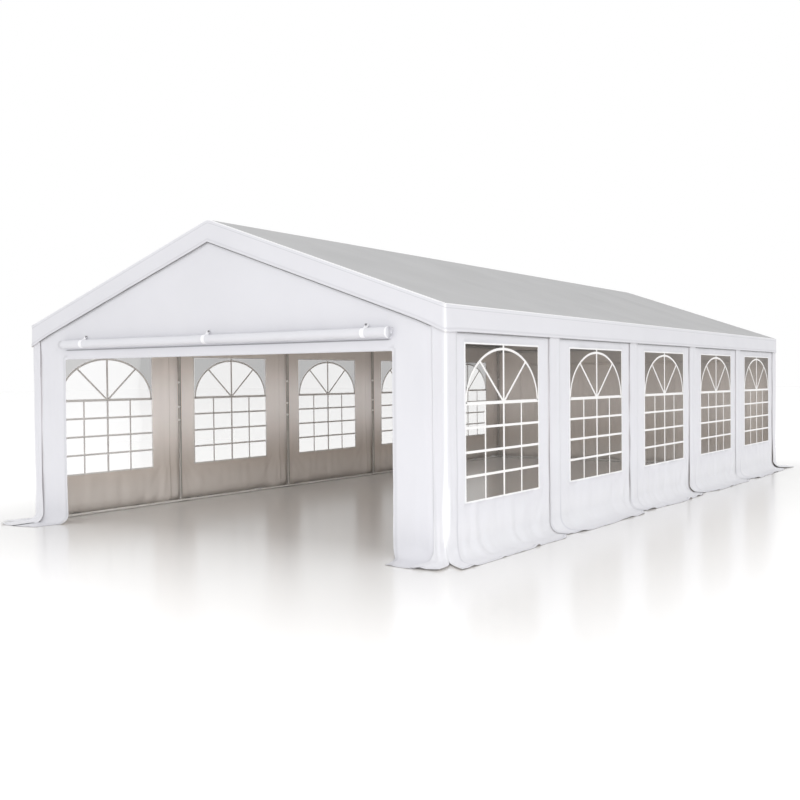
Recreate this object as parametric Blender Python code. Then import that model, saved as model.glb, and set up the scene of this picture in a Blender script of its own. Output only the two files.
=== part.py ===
"""Marquee tent, five bays long, with its cover, walls, clear windows and steel frame.

The tent stands on z = 0 with its centre on the origin. The long walls run along Y, the
front gable with the open door faces -Y, and the ridge runs along Y at x = 0.
"""

import math

import bmesh
import bpy
from mathutils import Matrix, Vector

# The cover: its outer width, length and heights
COVER_WIDTH = 4.930
COVER_LENGTH = 10.094
EAVE_HEIGHT = 1.996
RIDGE_HEIGHT = 2.862
VALANCE_DROP = 0.202
FABRIC = 0.003

# The hang of the walls behind the valance, and their skirts on the ground
WALL_INSET = 0.013
WALL_TOP = 1.985
SKIRT_BEND = 0.150
SKIRT_REACH = 0.250
SKIRT_STEPS = 6
SEAM_GAP = 0.002
CORNER_WRAP = 0.117
CORNER_SLIT = 0.006

# The bays, the seams between wall panels and the windows in them
BAYS = 5
BAY = 2.000
FIRST_SEAM = 1.860
WINDOW_WIDTH = 1.304
WINDOW_BOTTOM = 0.441
WINDOW_TOP = 1.699
WINDOW_TO_SEAM = 0.233
FILM = 0.0015
FILM_WELD = 0.015

# The door in each gable, and the rolled-up door over the front one
DOOR_WIDTH = 3.920
DOOR_HEIGHT = 1.646
ROLL_RADIUS = 0.046
ROLL_HEIGHT = 1.790
ROLL_LENGTH = 3.920

# The steel frame
TUBE_RADIUS = 0.019
RAIL_SLEEVE_RADIUS = 0.025
LEG_SLEEVE_RADIUS = 0.0235
RAFTER_SLEEVE_RADIUS = 0.022
TIE_SLEEVE_RADIUS = 0.021
SLEEVE_LENGTH = 0.120
RAIL_SLEEVE = 0.080
TUBE_SIDES = 12
TIE_DROP = 0.075
TIE_SLEEVE = 0.090
GROUND_RAIL_RADIUS = 0.0125
FOOT_SIZE = 0.120
FOOT_THICKNESS = 0.004
PEG_HOLE_RADIUS = 0.006
PEG_HOLE_INSET = 0.045
PEG_HOLE_SIDES = 8

# The gap that touching pieces keep, and how far a cutter runs past what it cuts
GAP = 0.0003
OVERCUT = 0.05

# Worked out from the sizes above
HALF_WIDTH = COVER_WIDTH / 2
HALF_LENGTH = COVER_LENGTH / 2
PITCH = math.atan2(RIDGE_HEIGHT - EAVE_HEIGHT, HALF_WIDTH)
WALL_X = HALF_WIDTH - WALL_INSET
WALL_Y = HALF_LENGTH - WALL_INSET
FRAME_DEPTH = FABRIC + GAP + RAIL_SLEEVE_RADIUS
FRAME_X = WALL_X - FRAME_DEPTH
FRAME_Y = WALL_Y - FRAME_DEPTH
GABLE_HALF = WALL_X - CORNER_WRAP

WHITE_PVC = ("white_pvc", (0.80, 0.80, 0.83), 0.45, 0.0, 1.0)
GREY_PVC = ("roof_pvc", (0.52, 0.52, 0.53), 0.50, 0.0, 1.0)
CLEAR_PVC = ("clear_film", (0.85, 0.88, 0.88), 0.10, 0.0, 0.35)
COATED_STEEL = ("coated_steel", (0.72, 0.72, 0.70), 0.40, 0.1, 1.0)


def clear_scene():
    for obj in list(bpy.data.objects):
        bpy.data.objects.remove(obj)


def material(name, colour, roughness, metallic, alpha):
    found = bpy.data.materials.get(name)
    if found:
        return found
    made = bpy.data.materials.new(name)
    made.use_nodes = True
    shader = made.node_tree.nodes["Principled BSDF"]
    shader.inputs["Base Color"].default_value = (*colour, 1.0)
    shader.inputs["Roughness"].default_value = roughness
    shader.inputs["Metallic"].default_value = metallic
    shader.inputs["Alpha"].default_value = alpha
    return made


def add_object(name, shape, finish=None):
    """Links a bmesh to the scene as an object. With no finish it is a helper, which stays hidden."""
    bmesh.ops.recalc_face_normals(shape, faces=shape.faces)
    mesh = bpy.data.meshes.new(name)
    shape.to_mesh(mesh)
    shape.free()
    obj = bpy.data.objects.new(name, mesh)
    bpy.context.scene.collection.objects.link(obj)
    if finish is None:
        obj.hide_render = True
        obj.display_type = "WIRE"
    else:
        mesh.materials.append(material(*finish))
    return obj


def boolean(obj, other, operation):
    """Joins another object to this one, or cuts it away, with a modifier."""
    modifier = obj.modifiers.new(other.name, "BOOLEAN")
    modifier.operation = operation
    modifier.object = other
    modifier.solver = "EXACT"
    modifier.use_self = operation == "UNION"


def add_tube(shape, start, end, radius, sides=TUBE_SIDES):
    """Adds a round bar between two points to a bmesh."""
    start = Vector(start)
    end = Vector(end)
    run = end - start
    turn = run.to_track_quat("Z", "Y").to_matrix().to_4x4()
    place = Matrix.Translation((start + end) / 2) @ turn
    bmesh.ops.create_cone(
        shape,
        cap_ends=True,
        segments=sides,
        radius1=radius,
        radius2=radius,
        depth=run.length,
        matrix=place,
    )


def add_box(shape, low, high):
    """Adds a box between two corners to a bmesh."""
    low = Vector(low)
    high = Vector(high)
    size = high - low
    scale = Matrix.Diagonal((size.x, size.y, size.z, 1.0))
    bmesh.ops.create_cube(shape, size=1.0, matrix=Matrix.Translation((low + high) / 2) @ scale)


def add_prism(shape, outline, run):
    """Adds an outline of points, pushed along the run, to a bmesh."""
    corners = [shape.verts.new(point) for point in outline]
    face = shape.faces.new(corners)
    pushed = bmesh.ops.extrude_face_region(shape, geom=[face])["geom"]
    moved = [item for item in pushed if isinstance(item, bmesh.types.BMVert)]
    bmesh.ops.translate(shape, vec=run, verts=moved)


def roof_height(x, depth=0.0):
    """Height of a plane that lies this deep under the outer face of the roof, at this x."""
    return RIDGE_HEIGHT - (depth + abs(x) * math.sin(PITCH)) / math.cos(PITCH)


def wall_outline(top):
    """Cross-section of a hanging wall: straight down, round a bend, then flat on the ground.

    Each point is (distance outwards from the wall's outer face, height).
    """
    centre = SKIRT_BEND - FABRIC
    outer = [(0.0, top)]
    inner = [(-FABRIC, top)]
    for step in range(SKIRT_STEPS + 1):
        angle = math.pi * (1 + step / SKIRT_STEPS / 2)
        across = math.cos(angle)
        down = math.sin(angle)
        outer.append((centre + (SKIRT_BEND - FABRIC) * across, SKIRT_BEND + (SKIRT_BEND - FABRIC) * down))
        inner.append((centre + SKIRT_BEND * across, SKIRT_BEND + SKIRT_BEND * down))
    outer.append((SKIRT_REACH, FABRIC))
    inner.append((SKIRT_REACH, 0.0))
    return outer + inner[::-1]


def add_side_sheet(shape, side, start, end):
    """Adds a hanging sheet on a long wall, from y = start to y = end."""
    outline = [(side * (WALL_X + out), start, height) for out, height in wall_outline(WALL_TOP)]
    add_prism(shape, outline, (0, end - start, 0))


def add_gable_sheet(shape, facing, start, end, top):
    """Adds a hanging sheet on a gable, from x = start to x = end. Facing is -1 at the front."""
    outline = [(start, facing * (WALL_Y + out), height) for out, height in wall_outline(top)]
    add_prism(shape, outline, (end - start, 0, 0))


def frame_positions():
    """Y of the six portal frames, from the front gable to the back one."""
    return [-FRAME_Y + 2 * FRAME_Y * i / BAYS for i in range(BAYS + 1)]


def seam_position(bay):
    """Y of the seam at the far end of this bay's wall panel."""
    return -HALF_LENGTH + FIRST_SEAM + BAY * bay


def panel_edges(bay):
    """Y where this bay's wall panel starts and ends on the long side."""
    start = seam_position(bay - 1) + SEAM_GAP / 2 if bay else -WALL_Y
    return start, seam_position(bay) - SEAM_GAP / 2


def window_edges(bay):
    """Y where the window of this bay starts and ends."""
    end = seam_position(bay) - WINDOW_TO_SEAM
    return end - WINDOW_WIDTH, end


def make_roof_cover():
    """The one-piece roof tarpaulin with a valance hanging all round it."""
    drop = VALANCE_DROP
    shell = bmesh.new()
    outline = [
        (-HALF_WIDTH, -HALF_LENGTH, EAVE_HEIGHT - drop),
        (-HALF_WIDTH, -HALF_LENGTH, EAVE_HEIGHT),
        (0, -HALF_LENGTH, RIDGE_HEIGHT),
        (HALF_WIDTH, -HALF_LENGTH, EAVE_HEIGHT),
        (HALF_WIDTH, -HALF_LENGTH, EAVE_HEIGHT - drop),
        (0, -HALF_LENGTH, RIDGE_HEIGHT - drop),
    ]
    add_prism(shell, outline, (0, COVER_LENGTH, 0))
    cover = add_object("roof_cover", shell, GREY_PVC)

    inside = bmesh.new()
    x = HALF_WIDTH - FABRIC
    y = HALF_LENGTH - FABRIC
    low = EAVE_HEIGHT - drop - OVERCUT
    outline = [
        (-x, -y, low),
        (-x, -y, roof_height(x, FABRIC)),
        (0, -y, roof_height(0, FABRIC)),
        (x, -y, roof_height(x, FABRIC)),
        (x, -y, low),
    ]
    add_prism(inside, outline, (0, 2 * y, 0))
    boolean(cover, add_object("roof_inside_cutter", inside), "DIFFERENCE")


def make_corner_cutter(side, facing):
    """A slit that parts the two skirts at a corner, from the ground to over the bend."""
    slit = bmesh.new()
    x = side * WALL_X
    y = facing * WALL_Y
    half = CORNER_SLIT
    add_box(slit, (x - half, y - half, -OVERCUT), (x + half, y + half, SKIRT_BEND + CORNER_SLIT))
    return add_object(f"corner_slit_cutter_{side}_{facing}", slit)


def make_side_wall(side, word, bay):
    """One wall panel of a long side. The first one wraps round the front corner post."""
    start, end = panel_edges(bay)
    panel = bmesh.new()
    add_side_sheet(panel, side, start, end)
    wall = add_object(f"side_wall_{word}_{bay + 1}", panel, WHITE_PVC)
    if bay == 0:
        wrap = bmesh.new()
        edges = sorted((side * WALL_X, side * (GABLE_HALF + SEAM_GAP)))
        add_gable_sheet(wrap, -1, *edges, WALL_TOP)
        boolean(wall, add_object(f"{wall.name}_wrap", wrap), "UNION")
        boolean(wall, make_corner_cutter(side, -1), "DIFFERENCE")

    window = bmesh.new()
    low_y, high_y = window_edges(bay)
    across = sorted((side * (WALL_X - OVERCUT), side * (WALL_X + OVERCUT)))
    add_box(window, (across[0], low_y, WINDOW_BOTTOM), (across[1], high_y, WINDOW_TOP))
    boolean(wall, add_object(f"{wall.name}_window_cutter", window), "DIFFERENCE")


def make_window_film(side, word, bay):
    """The clear sheet welded behind the window of one panel."""
    low_y, high_y = window_edges(bay)
    face = WALL_X - FABRIC - GAP
    across = sorted((side * face, side * (face - FILM)))
    film = bmesh.new()
    low = (across[0], low_y - FILM_WELD, WINDOW_BOTTOM - FILM_WELD)
    high = (across[1], high_y + FILM_WELD, WINDOW_TOP + FILM_WELD)
    add_box(film, low, high)
    add_object(f"window_film_{word}_{bay + 1}", film, CLEAR_PVC)


def make_gable_wall(facing, name, half):
    """A gable wall up to the rake, this far to each side, with the door cut through it."""
    panel = bmesh.new()
    add_gable_sheet(panel, facing, -half, half, RIDGE_HEIGHT)
    wall = add_object(name, panel, WHITE_PVC)

    above = bmesh.new()
    reach = HALF_WIDTH
    under = 2 * FABRIC
    y = facing * WALL_Y - OVERCUT
    outline = [
        (-reach, y, roof_height(reach, under)),
        (0, y, roof_height(0, under)),
        (reach, y, roof_height(reach, under)),
        (reach, y, RIDGE_HEIGHT + OVERCUT),
        (-reach, y, RIDGE_HEIGHT + OVERCUT),
    ]
    add_prism(above, outline, (0, 2 * OVERCUT, 0))
    boolean(wall, add_object(f"{name}_rake_cutter", above), "DIFFERENCE")

    door = bmesh.new()
    y = facing * WALL_Y
    outward = SKIRT_REACH + OVERCUT
    low = (-DOOR_WIDTH / 2, y - outward, -OVERCUT)
    high = (DOOR_WIDTH / 2, y + outward, DOOR_HEIGHT)
    add_box(door, low, high)
    boolean(wall, add_object(f"{name}_door_cutter", door), "DIFFERENCE")
    return wall


def make_back_gable_wall():
    """The back gable wall, which returns round both corner posts to the last seams."""
    wall = make_gable_wall(1, "back_gable_wall", WALL_X)
    for side in (-1, 1):
        turn = bmesh.new()
        add_side_sheet(turn, side, seam_position(BAYS - 1) + SEAM_GAP / 2, WALL_Y)
        boolean(wall, add_object(f"{wall.name}_return_{side}", turn), "UNION")
        boolean(wall, make_corner_cutter(side, 1), "DIFFERENCE")


def make_back_door():
    """The closed door of the back gable, zipped in between its jambs."""
    panel = bmesh.new()
    half = DOOR_WIDTH / 2 - SEAM_GAP / 4
    add_gable_sheet(panel, 1, -half, half, DOOR_HEIGHT - SEAM_GAP / 4)
    add_object("back_door_panel", panel, WHITE_PVC)


def make_door_roll():
    """The front door, rolled up and strapped under the gable."""
    roll = bmesh.new()
    y = -(WALL_Y + GAP + ROLL_RADIUS)
    half = ROLL_LENGTH / 2
    add_tube(roll, (-half, y, ROLL_HEIGHT), (half, y, ROLL_HEIGHT), ROLL_RADIUS, 2 * TUBE_SIDES)
    add_object("front_door_roll", roll, WHITE_PVC)


def eave_point(side, y):
    return Vector((side * FRAME_X, y, roof_height(FRAME_X, FRAME_DEPTH)))


def ridge_point(y):
    return Vector((0, y, roof_height(0, FRAME_DEPTH)))


def rail_sleeve_span(y):
    """Y range of the sleeve round a rail at one frame. It stops at the gable on the end frames."""
    end = FRAME_Y + RAIL_SLEEVE_RADIUS
    return max(y - RAIL_SLEEVE, -end), min(y + RAIL_SLEEVE, end)


def add_rail_with_sleeves(name, centre, branches):
    """One long tube with a sleeve at each frame, from which the branch sleeves leave.

    Centre gives the rail's point at a frame, and branches the root, tip and radius of each branch.
    """
    tube = bmesh.new()
    add_tube(tube, centre(-FRAME_Y), centre(FRAME_Y), TUBE_RADIUS)
    rail = add_object(name, tube, COATED_STEEL)
    sleeves = bmesh.new()
    for y in frame_positions():
        start, end = rail_sleeve_span(y)
        add_tube(sleeves, centre(start), centre(end), RAIL_SLEEVE_RADIUS)
        for root, tip, radius in branches(y):
            add_tube(sleeves, root, tip, radius)
    boolean(rail, add_object(f"{name}_sleeves", sleeves), "UNION")


def make_eave_rail(side, word):
    """The eave tube of one side with its corner fittings."""
    along = Vector((-side * math.cos(PITCH), 0, math.sin(PITCH)))

    def branches(y):
        corner = eave_point(side, y)
        found = [
            (corner, corner + along * SLEEVE_LENGTH, RAFTER_SLEEVE_RADIUS),
            (corner, corner - Vector((0, 0, SLEEVE_LENGTH)), LEG_SLEEVE_RADIUS),
        ]
        if abs(y) > FRAME_Y - TUBE_RADIUS:
            tie = corner - Vector((0, 0, TIE_DROP))
            found.append((tie, tie - Vector((side * TIE_SLEEVE, 0, 0)), TIE_SLEEVE_RADIUS))
        return found

    add_rail_with_sleeves(f"eave_rail_{word}", lambda y: eave_point(side, y), branches)


def make_ridge_rail():
    """The ridge tube with its fittings, which hold a rafter on each side."""

    def branches(y):
        top = ridge_point(y)
        found = []
        for side in (-1, 1):
            down = Vector((side * math.cos(PITCH), 0, -math.sin(PITCH)))
            found.append((top, top + down * SLEEVE_LENGTH, RAFTER_SLEEVE_RADIUS))
        return found

    add_rail_with_sleeves("ridge_rail", ridge_point, branches)


def make_rafter(side, word, index, y):
    """A sloping tube between the eave fitting and the ridge fitting of a frame."""
    low = eave_point(side, y)
    high = ridge_point(y)
    along = (high - low).normalized()
    end = SLEEVE_LENGTH + GAP
    tube = bmesh.new()
    add_tube(tube, low + along * end, high - along * end, TUBE_RADIUS)
    add_object(f"rafter_{word}_{index}", tube, COATED_STEEL)


def make_leg(side, word, index, y):
    """An upright tube on a foot plate, which has two holes for ground pegs."""
    corner = eave_point(side, y)
    top = corner.z - SLEEVE_LENGTH - GAP
    tube = bmesh.new()
    add_tube(tube, (corner.x, y, FOOT_THICKNESS / 2), (corner.x, y, top), TUBE_RADIUS)
    leg = add_object(f"leg_{word}_{index}", tube, COATED_STEEL)

    half = FOOT_SIZE / 2
    plate = bmesh.new()
    add_box(plate, (corner.x - half, y - half, 0), (corner.x + half, y + half, FOOT_THICKNESS))
    boolean(leg, add_object(f"{leg.name}_foot", plate), "UNION")

    holes = bmesh.new()
    for direction in (-1, 1):
        x = corner.x + direction * PEG_HOLE_INSET
        hole_y = y + direction * PEG_HOLE_INSET
        bottom = (x, hole_y, -OVERCUT)
        add_tube(holes, bottom, (x, hole_y, OVERCUT), PEG_HOLE_RADIUS, PEG_HOLE_SIDES)
    boolean(leg, add_object(f"{leg.name}_peg_holes", holes), "DIFFERENCE")


def ground_rail_line():
    """Distance of a side ground rail from the ridge plane, and the height of its centre."""
    x = FRAME_X - TUBE_RADIUS - GAP - GROUND_RAIL_RADIUS
    return x, FOOT_THICKNESS + GAP + GROUND_RAIL_RADIUS


def make_ground_rails():
    """Thin tubes on the foot plates, along both long sides and across the back."""
    x, z = ground_rail_line()
    back = FRAME_Y - TUBE_RADIUS - GAP - GROUND_RAIL_RADIUS
    for side, word in ((-1, "left"), (1, "right")):
        rail = bmesh.new()
        add_tube(rail, (side * x, -FRAME_Y, z), (side * x, FRAME_Y, z), GROUND_RAIL_RADIUS)
        add_object(f"ground_rail_{word}", rail, COATED_STEEL)
    end = x - GROUND_RAIL_RADIUS - GAP
    rail = bmesh.new()
    add_tube(rail, (-end, back, z), (end, back, z), GROUND_RAIL_RADIUS)
    add_object("ground_rail_back", rail, COATED_STEEL)


def make_gable_tie(facing, word):
    """The level tube across a gable, between the two corner fittings."""
    z = roof_height(FRAME_X, FRAME_DEPTH) - TIE_DROP
    half = FRAME_X - TIE_SLEEVE - GAP
    tie = bmesh.new()
    add_tube(tie, (-half, facing * FRAME_Y, z), (half, facing * FRAME_Y, z), TUBE_RADIUS)
    add_object(f"gable_tie_{word}", tie, COATED_STEEL)


def main():
    clear_scene()
    sides = ((-1, "left"), (1, "right"))
    for side, word in sides:
        make_eave_rail(side, word)
        for index, y in enumerate(frame_positions(), start=1):
            make_leg(side, word, index, y)
            make_rafter(side, word, index, y)
    make_ridge_rail()
    make_ground_rails()
    make_gable_tie(-1, "front")
    make_gable_tie(1, "back")

    make_roof_cover()
    for side, word in sides:
        for bay in range(BAYS):
            make_side_wall(side, word, bay)
            make_window_film(side, word, bay)
    make_gable_wall(-1, "front_gable_wall", GABLE_HALF)
    make_back_gable_wall()
    make_door_roll()
    make_back_door()


main()
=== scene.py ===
import math

import bmesh
import bpy
import numpy as np
from mathutils import Euler, Matrix, Vector


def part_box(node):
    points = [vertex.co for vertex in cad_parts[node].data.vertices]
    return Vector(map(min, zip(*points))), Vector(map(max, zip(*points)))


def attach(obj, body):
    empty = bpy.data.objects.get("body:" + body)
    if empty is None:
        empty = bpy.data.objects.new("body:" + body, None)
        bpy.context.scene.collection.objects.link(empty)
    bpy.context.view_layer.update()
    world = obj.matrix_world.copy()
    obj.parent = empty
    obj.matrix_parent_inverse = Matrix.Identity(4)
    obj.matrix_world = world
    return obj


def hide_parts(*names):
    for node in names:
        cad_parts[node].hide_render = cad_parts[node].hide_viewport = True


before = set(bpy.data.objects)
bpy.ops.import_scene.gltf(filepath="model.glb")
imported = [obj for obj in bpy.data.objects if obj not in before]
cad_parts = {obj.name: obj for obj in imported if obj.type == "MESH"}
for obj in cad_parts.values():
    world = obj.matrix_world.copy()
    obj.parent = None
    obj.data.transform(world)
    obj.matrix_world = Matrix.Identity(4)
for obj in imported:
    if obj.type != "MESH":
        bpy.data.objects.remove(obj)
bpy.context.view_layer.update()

# The viewpoint: a standing person's eye, off the tent's front right corner.
# A normal lens looks almost level, past the open gable and down the long wall.
camera_data = bpy.data.cameras.new("viewpoint")
camera_data.sensor_width = 36.0
camera_data.lens = 47.52
camera_data.clip_end = 500.0
viewpoint = bpy.data.objects.new("viewpoint", camera_data)
look_left = math.radians(33.32)
look_up = math.radians(-1.106)
head_tilt = math.radians(-0.498)
place = Matrix.Translation((6.6195, -12.0106, 1.4186))
turn = Matrix.Rotation(look_left, 4, "Z") @ Matrix.Rotation(math.pi / 2 + look_up, 4, "X")
viewpoint.matrix_world = place @ turn @ Matrix.Rotation(head_tilt, 4, "Z")
bpy.context.scene.collection.objects.link(viewpoint)
bpy.context.scene.camera = viewpoint


# The studio: an endless white floor, polished enough to mirror the tent's foot, in soft white light; it glows, and is
# painted darker near the tent, a painted shade.
# White light comes from the whole sky, a little brighter overhead, and from two lamps off the front right; the roof's
# greyer tone is painted shade in its cloth.
def paint(hex_value):
    """An sRGB hex colour as linear light with alpha 1."""
    parts = np.array([int(hex_value[i:i + 2], 16) / 255 for i in (1, 3, 5)])
    linear = np.where(parts <= 0.04045, parts / 12.92, ((parts + 0.055) / 1.055) ** 2.4)
    return (*linear.tolist(), 1.0)


def add(tree, kind, settings=None, **links):
    """Adds one node. Settings are its properties and socket values, and links join its inputs to others' outputs."""
    node = tree.nodes.new(kind)
    for name, value in (settings or {}).items():
        if isinstance(name, int) or name in node.inputs:
            node.inputs[name].default_value = value
        else:
            setattr(node, name, value)
    for name, source in links.items():
        tree.links.new(source, node.inputs[int(name[1:]) if name[1:].isdigit() else name.replace("_", " ")])
    return node


FLOOR_HALF = 150.0
FLOOR_WHITE = "#E2E1E0"
BACKDROP = "#FFFFFF"

floor_material = bpy.data.materials.new("polished_white_floor")
floor_material.use_nodes = True
tree = floor_material.node_tree
tree.nodes.clear()
lit = add(tree, "ShaderNodeBsdfDiffuse", {"Color": paint(FLOOR_WHITE)})
place = add(tree, "ShaderNodeTexCoord")
spread = add(tree, "ShaderNodeVectorMath", {"operation": "ABSOLUTE"}, _0=place.outputs["Object"])
past = add(tree, "ShaderNodeVectorMath", {"operation": "SUBTRACT", 1: (2.45, 5.05, 0.0)}, _0=spread.outputs[0])
plan = add(tree, "ShaderNodeSeparateXYZ", _0=past.outputs[0])
gap = add(tree, "ShaderNodeMath", {"operation": "MAXIMUM"}, _0=plan.outputs["X"], _1=plan.outputs["Y"])
# What shows of the floor glows less near the tent, a painted shade beside its real mirror image; the light it gives the
# walls is strongest there.
painted_floor_shade = add(tree, "ShaderNodeMapRange", {"From Min": -0.5, "From Max": 3.1, "To Min": 0.015, "To Max": 0.50},
            Value=gap.outputs[0])
given = add(tree, "ShaderNodeMapRange", {"From Max": 2.6, "To Min": 0.92, "To Max": 0.14}, Value=gap.outputs[0])
outside = add(tree, "ShaderNodeMath", {"operation": "GREATER_THAN", 1: 0.36}, _0=gap.outputs[0])
lighting = add(tree, "ShaderNodeMath", {"operation": "MULTIPLY"}, _0=given.outputs[0], _1=outside.outputs[0])
ray = add(tree, "ShaderNodeLightPath")
level = add(tree, "ShaderNodeMix", Factor=ray.outputs["Is Diffuse Ray"], A=painted_floor_shade.outputs[0], B=lighting.outputs[0])
glow = add(tree, "ShaderNodeEmission", {"Color": (1, 1, 1, 1)}, Strength=level.outputs[0])
base = add(tree, "ShaderNodeAddShader", _0=lit.outputs[0], _1=glow.outputs[0])
shine = add(tree, "ShaderNodeBsdfGlossy", {"Color": (1, 1, 1, 1), "Roughness": 0.2})
fresnel = add(tree, "ShaderNodeFresnel", {"IOR": 1.26})
mix = add(tree, "ShaderNodeMixShader", _0=fresnel.outputs[0], _1=base.outputs[0], _2=shine.outputs[0])
add(tree, "ShaderNodeOutputMaterial", Surface=mix.outputs[0])

floor_mesh = bpy.data.meshes.new("studio_floor")
corners = [(-1, -1), (1, -1), (1, 1), (-1, 1)]
floor_mesh.from_pydata([(FLOOR_HALF * x, FLOOR_HALF * y, -0.002) for x, y in corners], [], [(0, 1, 2, 3)])
floor_mesh.materials.append(floor_material)
studio_floor = bpy.data.objects.new("studio_floor", floor_mesh)
bpy.context.scene.collection.objects.link(studio_floor)

world = bpy.data.worlds.new("white_studio")
bpy.context.scene.world = world
world.use_nodes = True
tree = world.node_tree
tree.nodes.clear()
direction = add(tree, "ShaderNodeTexCoord")
height = add(tree, "ShaderNodeSeparateXYZ", _0=direction.outputs["Generated"])
sky = add(tree, "ShaderNodeMapRange",
          {"From Min": 0.0, "From Max": 0.9, "To Min": 0.73, "To Max": 1.02}, Value=height.outputs["Z"])
soft = add(tree, "ShaderNodeBackground", {"Color": (1.0, 1.0, 1.0, 1.0)}, Strength=sky.outputs[0])
plain = add(tree, "ShaderNodeBackground", {"Color": paint(BACKDROP), "Strength": 1.0})
ray = add(tree, "ShaderNodeLightPath")
seen = add(tree, "ShaderNodeMath", {"operation": "MAXIMUM"},
           _0=ray.outputs["Is Camera Ray"], _1=ray.outputs["Is Glossy Ray"])
both = add(tree, "ShaderNodeMixShader", _0=seen.outputs[0], _1=soft.outputs[0], _2=plain.outputs[0])
add(tree, "ShaderNodeOutputWorld", Surface=both.outputs[0])

softbox = bpy.data.lights.new("softbox", "SUN")
softbox.energy = 0.20
softbox.angle = math.radians(28)
softbox_lamp = bpy.data.objects.new("softbox", softbox)
softbox_lamp.rotation_euler = Euler((math.radians(70), 0, math.radians(20)))
bpy.context.scene.collection.objects.link(softbox_lamp)
near_light = bpy.data.lights.new("near_light", "AREA")
near_light.energy = 260
near_light.shape = "DISK"
near_light.size = 4.0
near_lamp = bpy.data.objects.new("near_light", near_light)
near_lamp.location = (10.2, -13.0, 5.2)
near_lamp.rotation_euler = Euler((math.radians(75), 0, math.radians(44)))
bpy.context.scene.collection.objects.link(near_lamp)
bpy.context.scene.view_settings.view_transform = "Standard"


# The cover: one tarpaulin of PVC-coated polyester over the whole roof, pulled tight over the rafters.
# Its top is painted pale grey, a painted shade; a piped edge runs along the eaves and rakes, and a valance hangs below
# it.
COVER_LOW, COVER_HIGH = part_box("roof_cover")
HALF_WIDTH = COVER_HIGH.x
HALF_LENGTH = COVER_HIGH.y
RIDGE = COVER_HIGH.z
VALANCE_DROP = 0.202
EAVE = COVER_LOW.z + VALANCE_DROP
SLOPE = (RIDGE - EAVE) / HALF_WIDTH
CLOTH = 0.0012
BAY = 2.0
BAYS = 5
LEG_Y = [(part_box(f"leg_right_{i}")[0].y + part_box(f"leg_right_{i}")[1].y) / 2 for i in range(1, 7)]


def smooth(x, start, end):
    """Eases from 0 at start to 1 at end: 3t squared minus 2t cubed, with t the clipped share of the way."""
    t = np.clip((x - start) / (end - start), 0, 1)
    return t * t * (3 - 2 * t)


def band(x, low, high, edge):
    """1 between low and high, easing to 0 over the edge width outside them."""
    return smooth(x, low - edge, low) * (1 - smooth(x, high, high + edge))


def waves(u, v, length_u, length_v, seed, count=7):
    """Soft random cloth waves, about -1 to 1: the mean of a few sines whose lengths and phases vary by the seed."""
    draw = np.random.default_rng(seed)
    total = 0
    for _ in range(count):
        across, along = draw.uniform(-1.3, 1.3), draw.uniform(-1.3, 1.3)
        phase = draw.uniform(0, 2 * math.pi)
        total = total + np.sin(2 * math.pi * (across * u / length_u + along * v / length_v) + phase)
    return total / math.sqrt(count)


def grid_lines(marks, step):
    """Grid lines through every mark, evenly spaced between marks and no further apart than the step."""
    runs = [np.linspace(a, b, math.ceil((b - a) / step - 1e-6) + 1)[:-1] for a, b in zip(marks, marks[1:])]
    return np.append(np.concatenate(runs), marks[-1])


def quads(rows, cols, start=0):
    """Corner numbers of the quads between the points of a grid, row by row."""
    spot = start + np.arange(rows * cols).reshape(rows, cols)
    return np.stack([spot[:-1, :-1], spot[:-1, 1:], spot[1:, 1:], spot[1:, :-1]], axis=-1)


MIDDLE = np.array([0, 0, 1.0])


def cloth_from(name, grids, finish, lining, thickness=CLOTH):
    """Joins grids of points into one sheet, with its outer face in the first finish and its inner in the lining.

    Each grid is (points, tone mark, mask of the quads that are there); the tone mark holds weld lines, painted shadows
    and painted highlights. A grid whose faces mostly point to the tent's middle is turned over. Points that meet are
    merged."""
    verts, faces, shades, count = [], [], [], 0
    for points, shade, there in grids:
        cells = quads(*points.shape[:2], start=0)
        cells = (cells[there] if there is not None else cells).reshape(-1, 4)
        flat = points.reshape(-1, 3)
        a, b, d = flat[cells[:, 0]], flat[cells[:, 1]], flat[cells[:, 3]]
        if (np.cross(b - a, d - a) * (a - MIDDLE)).sum() < 0:
            cells = cells[:, ::-1]
        verts.append(flat)
        faces.append(cells + count)
        shades.append(shade.ravel())
        count += len(flat)
    mesh = bpy.data.meshes.new(name)
    mesh.from_pydata(np.concatenate(verts).tolist(), [], np.concatenate(faces).tolist())
    tone_mark = mesh.attributes.new("tone_mark", "FLOAT", "POINT")
    tone_mark.data.foreach_set("value", np.concatenate(shades).astype(np.float32))
    shape = bmesh.new()
    shape.from_mesh(mesh)
    bmesh.ops.remove_doubles(shape, verts=shape.verts, dist=0.0002)
    bmesh.ops.delete(shape, geom=[vert for vert in shape.verts if not vert.link_faces], context="VERTS")
    shape.to_mesh(mesh)
    shape.free()
    mesh.shade_smooth()
    mesh.materials.append(finish)
    mesh.materials.append(lining)
    piece = bpy.data.objects.new(name, mesh)
    bpy.context.scene.collection.objects.link(piece)
    skin = piece.modifiers.new("thickness", "SOLIDIFY")
    skin.thickness = thickness
    skin.offset = -1
    skin.material_offset = 1
    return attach(piece, "root")


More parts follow.
